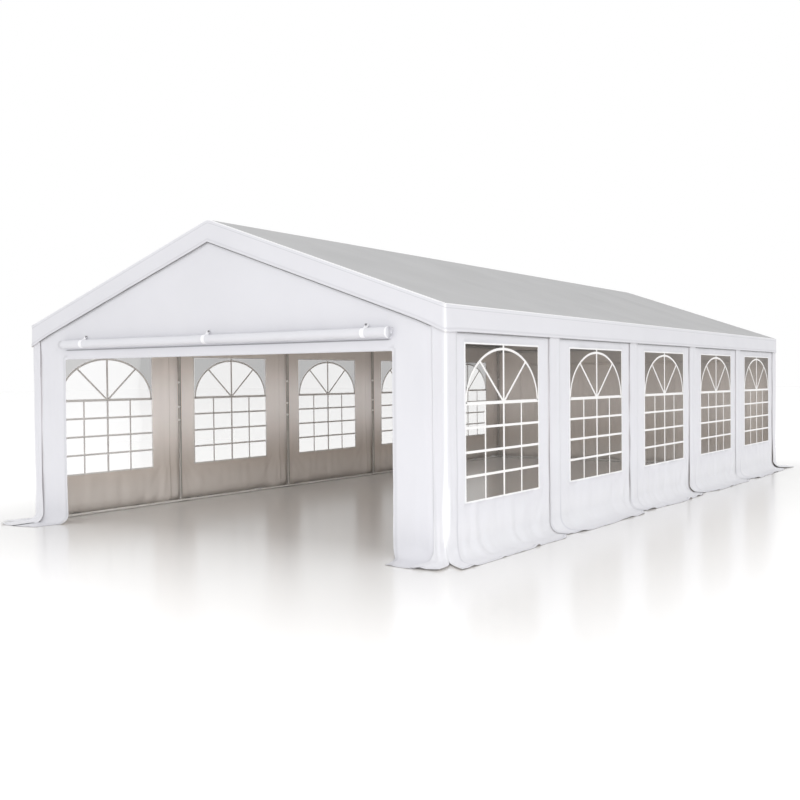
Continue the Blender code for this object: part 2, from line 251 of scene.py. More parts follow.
def tarpaulin(name, colour, weld_and_shadow_colour, roughness, mottle):
    """PVC-coated polyester: a satin skin over a plain weave, slightly mottled, with greyer weld lines, painted shadows
    and painted highlights.

    A tone mark above 0 shades the cloth towards the weld and shadow colour, for weld lines and painted shadows; one
    below 0 paints it towards white, as painted highlights and painted light.

    The real threads lie 0.5 mm apart, too fine to show, so the weave is drawn 6 mm apart."""
    thread = 0.006
    material = bpy.data.materials.new(name)
    material.use_nodes = True
    tree = material.node_tree
    shader = tree.nodes["Principled BSDF"]
    shader.inputs["Roughness"].default_value = roughness
    shader.inputs["Specular IOR Level"].default_value = 0.35
    where = add(tree, "ShaderNodeTexCoord")
    cloud = add(tree, "ShaderNodeTexNoise", {"Scale": 1.3, "Detail": 3.0, "Roughness": 0.55},
                Vector=where.outputs["Object"])
    shade = add(tree, "ShaderNodeMapRange", {"From Min": 0.3, "From Max": 0.7, "To Min": 1.0 - mottle, "To Max": 1.0},
                Value=cloud.outputs["Fac"])
    tone = add(tree, "ShaderNodeMix", {"data_type": "RGBA", "blend_type": "MULTIPLY", "Factor": 1.0,
                                       6: paint(colour)}, _7=shade.outputs[0])
    mark = add(tree, "ShaderNodeAttribute", {"attribute_name": "tone_mark"})
    painted_light_share = add(tree, "ShaderNodeMath", {"operation": "MULTIPLY", 1: -1.0, "use_clamp": True}, _0=mark.outputs["Fac"])
    painted_light_mix = add(tree, "ShaderNodeMix", {"data_type": "RGBA", 7: paint("#FFFFFF")},
                 _0=painted_light_share.outputs[0], _6=tone.outputs[2])
    weld_and_shadow_mix = add(tree, "ShaderNodeMix", {"data_type": "RGBA", 7: paint(weld_and_shadow_colour)},
                 _0=mark.outputs["Fac"], _6=painted_light_mix.outputs[2])
    tree.links.new(weld_and_shadow_mix.outputs[2], shader.inputs["Base Color"])
    weave = add(tree, "ShaderNodeTexVoronoi", {"Scale": 1 / thread, "Randomness": 0.25},
                Vector=where.outputs["Object"])
    crumple = add(tree, "ShaderNodeTexNoise", {"Scale": 9.0, "Detail": 4.0}, Vector=where.outputs["Object"])
    coarse = add(tree, "ShaderNodeBump", {"Strength": 0.10, "Distance": 0.010}, Height=crumple.outputs["Fac"])
    fine = add(tree, "ShaderNodeBump", {"Strength": 0.12, "Distance": 0.0006}, Height=weave.outputs["Distance"],
               Normal=coarse.outputs[0])
    tree.links.new(fine.outputs[0], shader.inputs["Normal"])
    return material


white_tarpaulin = tarpaulin("white_pvc_tarpaulin", "#E1E1E6", "#A2A2A7", 0.42, 0.03)
# The roof's cloth is painted greyer than the walls', painted shade for the light that falls less on its top.
painted_shade_roof_tarpaulin = tarpaulin("roof_pvc_painted_shade", "#B6B6B7", "#A2A2A5", 0.50, 0.09)
lining_tarpaulin = tarpaulin("shaded_pvc_lining", "#EFE6DE", "#B5ABA2", 0.60, 0.04)
# A wall's inner face has a glow of its own, since daylight comes through the cloth between the valance and knee height.
wall_lining = lining_tarpaulin.copy()
wall_lining.name = "daylit_pvc_lining"
tree = wall_lining.node_tree
where = add(tree, "ShaderNodeTexCoord")
height = add(tree, "ShaderNodeSeparateXYZ", _0=where.outputs["Object"])
low = add(tree, "ShaderNodeMapRange", {"interpolation_type": "SMOOTHSTEP", "From Min": 0.35, "From Max": 1.1},
          Value=height.outputs["Z"])
high = add(tree, "ShaderNodeMapRange", {"interpolation_type": "SMOOTHSTEP", "From Min": 1.2, "From Max": 1.8,
                                        "To Min": 0.26, "To Max": 0.05}, Value=height.outputs["Z"])
through = add(tree, "ShaderNodeMath", {"operation": "MULTIPLY"}, _0=low.outputs[0], _1=high.outputs[0])
# It is strongest in the bay next to the open door, and weakest at the back gable.
near = add(tree, "ShaderNodeMapRange", {"interpolation_type": "SMOOTHSTEP", "From Min": -3.6, "From Max": -1.4,
                                        "To Min": 1.18, "To Max": 1.0}, Value=height.outputs["Y"])
far = add(tree, "ShaderNodeMapRange", {"interpolation_type": "SMOOTHSTEP", "From Min": 2.6, "From Max": 5.0,
                                       "To Min": 1.0, "To Max": 0.30}, Value=height.outputs["Y"])
depth = add(tree, "ShaderNodeMath", {"operation": "MULTIPLY"}, _0=near.outputs[0], _1=far.outputs[0])
daylight = add(tree, "ShaderNodeMath", {"operation": "MULTIPLY"}, _0=through.outputs[0], _1=depth.outputs[0])
shader = tree.nodes["Principled BSDF"]
shader.inputs["Emission Color"].default_value = paint("#F2EFF0")
tree.links.new(daylight.outputs[0], shader.inputs["Emission Strength"])


RIDGE_ROUND = 0.015


def roof_height(x, rounding=1):
    """Height of the cover's outer face: the straight pitch, rounded over the ridge tube, or sharp with rounding 0."""
    over = RIDGE_ROUND * rounding
    return RIDGE - SLOPE * (np.sqrt(x * x + over * over) - RIDGE_ROUND)


def sag(x, y):
    """How far the cloth dips between two frames: half a sine along each bay, fading at the eave and ridge."""
    along = np.clip((y - LEG_Y[0]) / (LEG_Y[-1] - LEG_Y[0]), 0, 1) * BAYS
    up = np.clip(np.abs(x) / HALF_WIDTH, 0, 1)
    return 0.012 * np.abs(np.sin(math.pi * along)) ** 0.8 * np.sin(math.pi * up) ** 0.7


across = grid_lines([-HALF_WIDTH + 0.004, -0.04, 0, 0.04, HALF_WIDTH - 0.004], 0.055)
across = np.unique(np.concatenate([across, [-0.02, -0.01, 0.01, 0.02]]))
along = grid_lines([-HALF_LENGTH + 0.004, *LEG_Y[1:-1], HALF_LENGTH - 0.004], 0.07)
x, y = np.meshgrid(across, along)
edge_fade = smooth(HALF_WIDTH - np.abs(x), 0, 0.2) * smooth(HALF_LENGTH - np.abs(y), 0, 0.2)
ruck = 0.0022 * waves(x, y, 1.6, 0.55, 11) + 0.0012 * waves(x, y, 0.9, 0.22, 12)
z = roof_height(x) - sag(x, y) * edge_fade - 0.001 + ruck * edge_fade * smooth(np.abs(x), 0.02, 0.25)
roof_sheet = cloth_from("roof_sheet", [(np.stack([x, y, z], -1), np.zeros_like(x), None)],
                        painted_shade_roof_tarpaulin, lining_tarpaulin)
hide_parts("roof_cover")


def plan_path(corners, u, radius):
    """Walks a right-angled outline seen from above, with each corner rounded to a quarter circle.

    Gives the point at each distance u and the direction square to the cloth there. Radius may vary by point."""
    corners = np.array(corners, float)
    runs = np.diff(corners, axis=0)
    lengths = np.linalg.norm(runs, axis=1)
    ways = runs / lengths[:, None]
    starts = np.concatenate([[0], np.cumsum(lengths)])
    leg = np.clip(np.searchsorted(starts, u, side="right") - 1, 0, len(ways) - 1)
    point = corners[leg] + ways[leg] * (u - starts[leg])[..., None]
    out_of = np.stack([ways[:, 1], -ways[:, 0]], axis=-1)
    facing = out_of[leg]
    for i in range(1, len(ways)):
        share = (u - starts[i]) / radius
        near = np.abs(share) < 1
        angle = (np.clip(share, -1, 1) + 1) * math.pi / 4
        before, after = out_of[i - 1], out_of[i]
        arc = np.cos(angle)[..., None] * before + np.sin(angle)[..., None] * after
        centre = corners[i] - np.asarray(radius)[..., None] * (before + after)
        point = np.where(near[..., None], centre + np.asarray(radius)[..., None] * arc, point)
        facing = np.where(near[..., None], arc, facing)
    return point, facing


# The valance: a 200 mm skirt of the same cloth, white, welded to the cover's edge all the way round.
# Its hem is turned back and hangs a little clear of the walls; the thin dark line under it is a grey cord, a painted
# shadow.
HEM = 0.022
PIPING = 0.0065
VALANCE_CORNER = 0.022


def hem_sag(corner_gap, eave):
    """How much lower than its cut the hem hangs: 8 mm along the eaves, and 18 mm at the tent's corners."""
    along_eave = 0.008 * eave
    return along_eave + (0.018 - along_eave) * np.exp(-(corner_gap / 0.16) ** 2)


ring = [(-HALF_WIDTH, -HALF_LENGTH), (HALF_WIDTH, -HALF_LENGTH), (HALF_WIDTH, HALF_LENGTH),
        (-HALF_WIDTH, HALF_LENGTH), (-HALF_WIDTH, -HALF_LENGTH)]
sides = [2 * HALF_WIDTH, 2 * HALF_LENGTH, 2 * HALF_WIDTH, 2 * HALF_LENGTH]
turns = np.concatenate([[0], np.cumsum(sides)])
grids = []
for leg, length in enumerate(sides):
    marks = [turns[leg], turns[leg] + 0.012, turns[leg] + 0.03, turns[leg] + length / 2,
             turns[leg + 1] - 0.03, turns[leg + 1] - 0.012, turns[leg + 1]]
    u = grid_lines(marks, 0.045)
    v = np.array([0, 0.008, 0.016, 0.0235, 0.025, 0.029, 0.0305, 0.05, 0.08, 0.11, 0.14, 0.165,
                  VALANCE_DROP - HEM - 0.003, VALANCE_DROP - HEM, VALANCE_DROP - HEM / 2, VALANCE_DROP])
    uu, vv = np.meshgrid(u, v)
    closed = [ring[3], *ring, ring[1]]
    point, facing = plan_path(closed, uu + sides[3], VALANCE_CORNER)
    drop = vv / VALANCE_DROP
    out = 0.006 * drop ** 2 + 0.0022 * waves(uu, vv, 0.42, 2.0, 21) * drop + 0.0008 * band(vv, 0, 0.0235, 0.0015)
    out = out + 0.0010 * smooth(vv, VALANCE_DROP - HEM - 0.003, VALANCE_DROP - HEM)
    flat = point + facing * out[..., None]
    top = roof_height(np.clip(np.abs(point[..., 0]), 0, HALF_WIDTH - 0.002), 1 - smooth(vv, 0, 0.1))
    corner_gap = np.minimum(uu - turns[leg], turns[leg + 1] - uu)
    heights = top - 0.004 - vv * (VALANCE_DROP - 0.004 + hem_sag(corner_gap, leg % 2)) / VALANCE_DROP
    tone_mark = 0.32 * band(vv, 0.0250, 0.0290, 0.0008)
    tone_mark = np.maximum(tone_mark, 0.22 * band(vv, VALANCE_DROP - HEM - 0.003, VALANCE_DROP - HEM, 0.001))
    # The valance's corners are painted whiter, a painted highlight.
    tone_mark = tone_mark - 1.0 * (1 - smooth(corner_gap, 0.003, 0.015)) * (tone_mark < 0.1)
    grids.append((np.concatenate([flat, heights[..., None]], -1), tone_mark, None))
valance = cloth_from("cover_valance", grids, white_tarpaulin, lining_tarpaulin)
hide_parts("roof_cover")


def tube_along(points, radius, sides=10, closed=False):
    """A circle carried square to a path, as rings of points: radius times (cos, sin) across each tangent."""
    points = np.asarray(points, float)
    if closed:
        before, after = np.roll(points, 1, axis=0), np.roll(points, -1, axis=0)
    else:
        before = np.concatenate([points[:1], points[:-1]])
        after = np.concatenate([points[1:], points[-1:]])
    tangent = after - before
    tangent /= np.linalg.norm(tangent, axis=1)[:, None]
    guide = np.where(np.abs(tangent[:, 2:]) > 0.9, [[1.0, 0, 0]], [[0, 0, 1.0]])
    side = np.cross(tangent, guide)
    side /= np.linalg.norm(side, axis=1)[:, None]
    up = np.cross(side, tangent)
    angle = np.linspace(0, 2 * math.pi, sides, endpoint=False)
    turn = np.cos(angle)[None, :, None] * side[:, None] + np.sin(angle)[None, :, None] * up[:, None]
    return points[:, None] + np.asarray(radius).reshape(-1, 1, 1) * turn


def solid_from(name, parts, finish, sharp=35):
    """Joins lofts into one mesh. Each part is rings of points, then True where its last ring joins its first.

    The other lofts are closed with a face at each end."""
    verts, faces, count = [], [], 0
    for rings, loop in parts:
        rows, cols = rings.shape[:2]
        spot = count + np.arange(rows * cols).reshape(rows, cols)
        spot = np.concatenate([spot, spot[:1]]) if loop else spot
        spot = np.concatenate([spot, spot[:, :1]], axis=1)
        cells = np.stack([spot[:-1, :-1], spot[:-1, 1:], spot[1:, 1:], spot[1:, :-1]], axis=-1)
        faces += cells.reshape(-1, 4).tolist()
        if not loop:
            faces += [spot[0, :-1][::-1].tolist(), spot[-1, :-1].tolist()]
        verts.append(rings.reshape(-1, 3))
        count += rows * cols
    mesh = bpy.data.meshes.new(name)
    mesh.from_pydata(np.concatenate(verts).tolist(), [], faces)
    shape = bmesh.new()
    shape.from_mesh(mesh)
    bmesh.ops.recalc_face_normals(shape, faces=shape.faces)
    shape.to_mesh(mesh)
    shape.free()
    mesh.shade_smooth()
    mesh.set_sharp_from_angle(angle=math.radians(sharp))
    mesh.materials.append(finish)
    piece = bpy.data.objects.new(name, mesh)
    bpy.context.scene.collection.objects.link(piece)
    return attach(piece, "root")


inset = 0.005
eave_line = np.linspace(-HALF_LENGTH + inset, HALF_LENGTH - inset, 120)
rake_x = grid_lines([-HALF_WIDTH + inset, -0.03, 0, 0.03, HALF_WIDTH - inset], 0.06)
rake_z = roof_height(rake_x) - 0.005
front = np.stack([rake_x, np.full_like(rake_x, -HALF_LENGTH + inset), rake_z], -1)
right = np.stack([np.full_like(eave_line, HALF_WIDTH - inset), eave_line, np.full_like(eave_line, rake_z[-1])], -1)
back = np.stack([rake_x[::-1], np.full_like(rake_x, HALF_LENGTH - inset), rake_z[::-1]], -1)
left = np.stack([np.full_like(eave_line, -HALF_WIDTH + inset), eave_line[::-1],
                 np.full_like(eave_line, rake_z[0])], -1)
piping_path = np.concatenate([front[:-1], right[:-1], back[:-1], left[:-1]])
# The piping's cloth is painted whiter than the valance's, a painted highlight along the cover's edge.
piping_highlight_tarpaulin = tarpaulin("pvc_piping_painted_highlight", "#F3F3F5", "#E4E4E8", 0.35, 0.0)
piping = solid_from("cover_piping", [(tube_along(piping_path, PIPING, 12, closed=True), True)], piping_highlight_tarpaulin)


# The side walls: ten panels of white tarpaulin, 2 m wide, hung from the eave rail and joined edge to edge.
# Each starts with a doubled strip that laps over its neighbour in front of the leg, and ends in a loose skirt.
WALL_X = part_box("side_wall_right_2")[1].x - 0.25
WALL_Y = -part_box("side_wall_right_1")[0].y - 0.25
WALL_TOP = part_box("side_wall_right_2")[1].z
FIRST_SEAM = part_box("side_wall_right_1")[1].y + 0.001
STRIP = 0.22
CORNER_STRIP = 0.32
LAP = 0.045
CORNER_WRAP = 0.115
CORNER_U = BAY - FIRST_SEAM - WALL_Y
LEG_U = LEG_Y[1] - FIRST_SEAM
WELD = 0.015
WINDOW_LOW, WINDOW_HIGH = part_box("window_film_right_2")
WINDOW_LOW_U, WINDOW_HIGH_U = WINDOW_LOW.y + WELD - FIRST_SEAM, WINDOW_HIGH.y - WELD - FIRST_SEAM
WINDOW_LOW_Z, WINDOW_HIGH_Z = WINDOW_LOW.z + WELD, WINDOW_HIGH.z - WELD
FRAME_BAND = 0.012
SKIRT_TOP = 0.26
SKIRT_SHARES = np.array([0.1, 0.2, 0.28, 0.34, 0.4, 0.45, 0.5, 0.55, 0.6, 0.65, 0.7, 0.75, 0.8, 0.85, 0.9,
                         0.94, 0.97, 0.985, 1.0])


def hang(body, bend, reach):
    """Height, outward distance and slope of cloth on a wall: body rows at their heights, then the skirt's rows.

    The skirt goes on down to the bend, round a quarter circle of the bend's radius, and flat
    to the reach, with its rows at even shares of that length."""
    length = SKIRT_TOP + reach - bend * (2 - math.pi / 2)
    past = SKIRT_SHARES[:, None] * length - (SKIRT_TOP - bend)
    angle = np.clip(past / bend, 0, math.pi / 2)
    height = np.where(past < 0, bend - past, bend * (1 - np.sin(angle)))
    out = bend * (1 - np.cos(angle)) + np.maximum(past - bend * math.pi / 2, 0)
    nothing = np.zeros_like(body)
    return np.concatenate([body, height]), np.concatenate([nothing, out]), np.concatenate([nothing, angle])


def drape(plan, facing, flap, hung, lean, relief, lift):
    """Points of hung cloth: its plan point, moved by the flap's way times the outward distance.

    Lean moves the skirt sideways: as far as it goes out at first, easing off to the lean itself. Relief moves cloth
    square to its face, and lift raises the hem."""
    height, out, angle = hung
    side = np.array([-flap[1], flap[0]])
    sideways = lean * np.tanh(out / np.maximum(np.abs(lean), 0.001))
    xy = plan + np.array(flap) * out[..., None] + side * sideways[..., None]
    xy = xy + facing * (relief * np.cos(angle))[..., None]
    z = height + relief * np.sin(angle) + lift * smooth(angle, 0.9, math.pi / 2)
    return np.concatenate([xy, np.maximum(z, 0.0006)[..., None]], -1)


def creases(u, z, seed):
    """Soft upright folds, a millimetre or two high, that deepen to about 6 mm towards the ground."""
    low = smooth(0.75 - z, 0, 0.65)
    return (0.0013 * waves(u, z, 0.13, 2.6, seed) + 0.0022 * waves(u, z, 0.45, 0.5, seed + 1)
            + 0.0065 * low * waves(u, z, 0.2, 1.6, seed + 2))


def crumple(u, z, seed):
    """Handling creases: the size of soft random waves, which turns over along sharp lines, mostly slanting."""
    return (-0.0022 * np.abs(waves(u + 0.6 * z, z - 0.5 * u, 0.7, 0.9, seed, 4))
            - 0.0012 * np.abs(waves(u - 0.5 * z, z + 0.4 * u, 0.33, 0.4, seed + 1, 4)))


def fan_folds(u, z, centre, seed):
    """Folds that fan out from a corner or panel joint at knee height: a sine of the angle round that point, easing out.
    """
    draw = np.random.default_rng(seed)
    angle = np.arctan2(0.62 - z, np.abs(u - centre) + 0.02)
    distance = np.hypot(u - centre, 0.62 - z)
    fade = smooth(distance, 0.10, 0.3) * (1 - smooth(distance, 0.55, 0.95)) * smooth(0.62 - z, 0, 0.2)
    return 0.0042 * fade * (np.sin(11 * angle + draw.uniform(0, 6)) + 0.5 * np.sin(23 * angle + draw.uniform(0, 6)))


def hem_lift(u, seed):
    """The few millimetres that the hem rises off the ground: the positive half of soft waves, squared, and a base."""
    return 0.004 * np.maximum(waves(u, 0 * u, 0.33, 1.0, seed), 0) ** 2 + 0.0012


def hem_shade(hung):
    """Shade of the hem's weld line, 25 mm in, and a painted shadow along its cut edge, where it lies on the floor."""
    rows = hung[0].shape[0]
    share = np.concatenate([np.zeros(rows - len(SKIRT_SHARES)), SKIRT_SHARES])[:, None]
    return 0.22 * band(share, 0.935, 0.945, 0.004) + 0.95 * smooth(share, 0.984, 1.0) + 0 * hung[0]


def lit_skirt(shade, z):
    """Whitens plain cloth near the ground, where the floor's light shines through it: by up to 0.25 below z = 0.18."""
    return np.where(shade < 0.05, shade - 0.25 * smooth(0.42 - z, 0, 0.24), shade)


def window_frame(u, z):
    """1 on the weld band round the window, easing to 0 over 2 mm, and the shade of a painted shadow line round it."""
    past = np.maximum(np.maximum(WINDOW_LOW_U - u, u - WINDOW_HIGH_U),
                      np.maximum(WINDOW_LOW_Z - z, z - WINDOW_HIGH_Z))
    return 1 - smooth(past, FRAME_BAND, FRAME_BAND + 0.003), 0.25 * band(past, FRAME_BAND + 0.001, FRAME_BAND + 0.004, 0.003)


def corner_radius(height):
    """Radius of a tent corner at each height: 22 mm, and slacker near knee height."""
    return 0.022 + 0.016 * np.exp(-((height - 0.4) / 0.2) ** 2)


def wall_panel(side, bay):
    """One side wall panel: grids of points over u, the distance along the wall from the panel's joining edge."""
    start = FIRST_SEAM + BAY * (bay - 2)
    seed = 100 * bay + (50 if side < 0 else 0)
    strip = CORNER_STRIP if bay == 1 else STRIP
    marks = [0, 0.004, 0.018, 0.022, 0.11, LEG_U, strip - 0.004, strip + 0.003, WINDOW_LOW_U - FRAME_BAND - 0.006,
             WINDOW_LOW_U - FRAME_BAND, WINDOW_LOW_U, WINDOW_HIGH_U, WINDOW_HIGH_U + FRAME_BAND,
             WINDOW_HIGH_U + FRAME_BAND + 0.006, BAY - 0.02, BAY - 0.004, BAY + LAP]
    corners = [(WALL_X, start), (WALL_X, start + 2 * BAY)]
    runs = [(grid_lines(marks, 0.024), (1, 0), 0)]
    if bay == 1:
        first = CORNER_U - CORNER_WRAP
        corners = [(WALL_X - CORNER_WRAP, -WALL_Y), (WALL_X, -WALL_Y), (WALL_X, 0)]
        wrap = grid_lines([first, first + 0.004, first + 0.02, CORNER_U - 0.04, CORNER_U], 0.01)
        runs = [(wrap, (0, -1), first),
                (grid_lines([CORNER_U, CORNER_U + 0.04] + marks[6:], 0.02), (1, 0), first)]
    heights = grid_lines([-WALL_TOP, -1.79, -WINDOW_HIGH_Z - FRAME_BAND - 0.006, -WINDOW_HIGH_Z - FRAME_BAND,
                          -WINDOW_HIGH_Z, -WINDOW_LOW_Z, -WINDOW_LOW_Z + FRAME_BAND,
                          -WINDOW_LOW_Z + FRAME_BAND + 0.006, -SKIRT_TOP], 0.05)
    grids = []
    for columns, flap, first in runs:
        u, body = np.meshgrid(columns, -heights)
        near_start = np.exp(-(columns / 0.28) ** 2) if bay > 1 else 0 * columns
        near_end = np.exp(-((BAY - columns) / 0.16) ** 2)
        bend = 0.145 - 0.045 * near_start - 0.045 * near_end + 0.008 * waves(columns, 0 * columns, 0.6, 1, seed)
        if bay == 1:
            bend = bend - 0.05 * np.exp(-((columns - CORNER_U) / 0.2) ** 2)
        reach = 0.252 - 0.065 * near_start - 0.09 * near_end + 0.012 * waves(columns, 0 * columns, 0.7, 1, seed + 5)
        if flap[1]:
            reach = reach + 0.10 - 0.02 * smooth(columns, first, CORNER_U)
        hung = hang(body, bend, np.maximum(reach, bend + 0.02))
        z = hung[0]
        u = np.broadcast_to(columns, z.shape)
        plan, facing = plan_path(corners, u - first, corner_radius(z))
        corner_near = np.maximum(1 - np.abs(columns - CORNER_U) / (CORNER_WRAP if flap[1] else 0.4), 0)
        lean = corner_near * (0.135 if flap[1] else -0.36) * (bay == 1)
        relief = creases(u, z, seed) - 0.004 * smooth(u, BAY - 0.03, BAY)
        relief = relief + 0.0055 * (1 - smooth(u, strip - 0.004, strip + 0.003))
        relief = relief + crumple(u, z, seed + 20) * smooth(u, strip, strip + 0.1) * (1 - smooth(u, 1.85, 1.95))
        relief = relief + 0.005 * np.exp(-((u - LEG_U) / 0.03) ** 2) * smooth(z, 0.15, 0.5)
        corner_gap = np.abs(u - CORNER_U) if bay == 1 else np.full_like(u, 9.0)
        gathers = np.exp(-(corner_gap / 0.22) ** 2) * smooth(1.5 - z, 0, 1.2)
        relief = relief + 0.0052 * gathers * waves(u, z, 0.055, 2.4, seed + 9)
        relief = relief + fan_folds(u, z, CORNER_U if bay == 1 else STRIP, seed) * (u > STRIP)
        relief = relief + fan_folds(u, z, BAY, seed + 11) * (u > STRIP)
        frame_band_and_highlight, painted_frame_shadow = window_frame(u, z)
        relief = np.where(frame_band_and_highlight > 0, relief * (1 - frame_band_and_highlight) + 0.0022 * frame_band_and_highlight, relief)
        shade = 0.28 * band(u, strip - 0.003, strip + 0.002, 0.002)
        shade = shade + 0.16 * band(u, 0.0185, 0.0215, 0.002) * (bay > 1)
        # The window's weld band is painted whiter, a painted highlight, and a painted shadow line runs round it.
        shade = np.maximum(np.maximum(shade, painted_frame_shadow), hem_shade(hung)) - 0.9 * frame_band_and_highlight
        # Down the tent's rounded corner a narrow band is painted whiter, a painted highlight, widest near knee height.
        rounded = 0.005 + 0.014 * np.exp(-((z - 0.38) / 0.24) ** 2)
        shade = lit_skirt(shade, z) - 0.8 * (1 - smooth(corner_gap, rounded, rounded * 2.0)) * smooth(z, 0.06, 0.2)
        points = drape(plan, facing, flap, hung, lean, relief, hem_lift(columns, seed + 7))
        points[..., 0] *= side
        middle_u = (columns[1:] + columns[:-1]) / 2
        middle_z = (z[1:] + z[:-1])[:, 1:] / 2
        hole = (WINDOW_LOW_U < middle_u) & (middle_u < WINDOW_HIGH_U)
        hole = hole & (WINDOW_LOW_Z < middle_z) & (middle_z < WINDOW_HIGH_Z)
        grids.append((points, shade, ~hole))
    return grids


for side, hand in ((-1, "left"), (1, "right")):
    for bay in range(1, BAYS + 1):
        panel = cloth_from(f"wall_{hand}_{bay}", wall_panel(side, bay), white_tarpaulin, wall_lining)
        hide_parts(f"side_wall_{hand}_{bay}")


# The windows: sheets of clear PVC film, welded into the wall panels from inside and pulled flat.
# White PVC bars are welded on both faces: four rows and columns of panes under a round arch, smoked outside it.
ARCH_HALF = (WINDOW_HIGH_U - WINDOW_LOW_U) / 2
SPRING = 1.222
ARCH_RISE = 0.458
BAR = 0.021
SPRING_BAR = 0.027
FILM_X = WALL_X - 0.0016
BAR_DEPTH = 0.0034

clear_film = bpy.data.materials.new("clear_pvc_film")
clear_film.use_nodes = True
clear_film.surface_render_method = "BLENDED"
tree = clear_film.node_tree
shader = tree.nodes["Principled BSDF"]
shader.inputs["Roughness"].default_value = 0.08
shader.inputs["IOR"].default_value = 1.53
smoke = add(tree, "ShaderNodeAttribute", {"attribute_name": "tone_mark"})
tint = add(tree, "ShaderNodeMix", {"data_type": "RGBA", 6: paint("#E2E2E0"), 7: paint("#2B2A28")},
           _0=smoke.outputs["Fac"])
tree.links.new(tint.outputs[2], shader.inputs["Base Color"])
edge_on = add(tree, "ShaderNodeLayerWeight", {"Blend": 0.32})
film_body = add(tree, "ShaderNodeMapRange", {"To Min": 0.03, "To Max": 0.37}, Value=smoke.outputs["Fac"])
veil = add(tree, "ShaderNodeMath", {"operation": "MULTIPLY_ADD", "use_clamp": True, 1: 0.16},
           _0=edge_on.outputs["Fresnel"], _2=film_body.outputs[0])
tree.links.new(veil.outputs[0], shader.inputs["Alpha"])
where = add(tree, "ShaderNodeTexCoord")
ripple = add(tree, "ShaderNodeTexNoise", {"Scale": 5.0, "Detail": 2.0}, Vector=where.outputs["Object"])
pull = add(tree, "ShaderNodeBump", {"Strength": 0.25, "Distance": 0.02}, Height=ripple.outputs["Fac"])
tree.links.new(pull.outputs[0], shader.inputs["Normal"])

bar_vinyl = tarpaulin("white_vinyl_bars", "#F4F3F2", "#D8D8D8", 0.40, 0.0)


def bar(path, width, depth=BAR_DEPTH):
    """A flat bar carried along a path in the window's plane: a rounded oblong, width by depth, square to the path."""
    path = np.asarray(path, float)
    way = np.gradient(path, axis=0)
    way /= np.linalg.norm(way, axis=1)[:, None]
    flat, deep = width / 2, depth / 2
    outline = np.array([(-flat, -deep * 0.4), (-flat + 0.002, -deep), (flat - 0.002, -deep), (flat, -deep * 0.4),
                        (flat, deep * 0.4), (flat - 0.002, deep), (-flat + 0.002, deep), (-flat, deep * 0.4)])
    across = np.stack([-way[:, 1], way[:, 0]], -1)
    yz = path[:, None] + across[:, None] * outline[None, :, :1]
    x = np.broadcast_to(outline[None, :, 1:], (len(path), len(outline), 1))
    return np.concatenate([x, yz], -1)


def window_bars(middle):
    """All bars of a window whose middle is at the given y: cross bars, uprights, the arch and two slanting bars."""
    low, high = -ARCH_HALF - 0.004, ARCH_HALF + 0.004
    pane = (SPRING - WINDOW_LOW_Z) / 4
    bars = [bar([(low, SPRING), (high, SPRING)], SPRING_BAR)]
    bars += [bar([(low, WINDOW_LOW_Z + i * pane), (high, WINDOW_LOW_Z + i * pane)], BAR) for i in (1, 2, 3)]
    under = BAR_DEPTH - 0.0008
    bars += [bar([(i * ARCH_HALF / 2, WINDOW_LOW_Z - 0.004), (i * ARCH_HALF / 2, SPRING)], BAR, under)
             for i in (-1, 1)]
    bars.append(bar([(0, WINDOW_LOW_Z - 0.004), (0, WINDOW_HIGH_Z + 0.004)], SPRING_BAR, under))
    angle = np.linspace(0, math.pi, 49)
    bars.append(bar(np.stack([(ARCH_HALF - BAR / 2) * np.cos(angle),
                              SPRING + (ARCH_RISE - BAR / 2) * np.sin(angle)], -1), BAR))
    bars += [bar([(0, SPRING), (i * 0.405, SPRING + 0.337)], BAR, under - 0.0008) for i in (-1, 1)]
    for rings in bars:
        rings[..., 1] += middle
        rings[..., 0] += FILM_X
    return bars


for side, hand in ((-1, "left"), (1, "right")):
    for bay in range(1, BAYS + 1):
        low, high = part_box(f"window_film_{hand}_{bay}")
        middle = (low.y + high.y) / 2
        film_y = grid_lines([low.y, low.y + WELD, low.y + WELD + 0.004, high.y - WELD - 0.004, high.y - WELD,
                             high.y], 0.022)
        film_z = grid_lines([low.z, low.z + WELD, high.z - WELD - 0.004, high.z - WELD, high.z], 0.022)
        y, z = np.meshgrid(film_y, film_z)
        over = np.hypot((y - middle) / ARCH_HALF, (z - SPRING) / ARCH_RISE) - 1
        smoked = smooth(over, -0.03, 0.0) * smooth(z, SPRING - 0.01, SPRING + 0.01)
        smoked = smoked * (np.abs(y - middle) < ARCH_HALF - 0.002) * (z < high.z - WELD - 0.002)
        pull_in = smooth(high.y - y, 0.015, 0.12) * smooth(y - low.y, 0.015, 0.12)
        x = side * (FILM_X + 0.0005 * waves(y, z, 0.5, 0.9, 900 + bay) * pull_in)
        film = cloth_from(f"window_{hand}_{bay}", [(np.stack([x, y, z], -1), smoked, None)],
                          clear_film, clear_film, 0.0005)
        film.modifiers.clear()
        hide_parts(f"window_film_{hand}_{bay}")
        bars = window_bars(middle)
        for rings in bars:
            rings[..., 0] *= side
        frame_bars = solid_from(f"window_bars_{hand}_{bay}", [(rings, False) for rings in bars], bar_vinyl)


# The gable walls: white tarpaulin under the rakes at both ends, with a wide doorway between two jambs.
# At the back the sheet runs round the corners to the last seam, and a loose panel closes the doorway.
DOOR_HALF = 1.96
DOOR_TOP = 1.646
DOOR_HEM = 0.022


LEVEL_TOP = 1.76
# Heights of a painted shadow line on the gable just under the rolled door.
ROLL_SHADOW_LOW, ROLL_SHADOW_HIGH = 1.7335, 1.7435


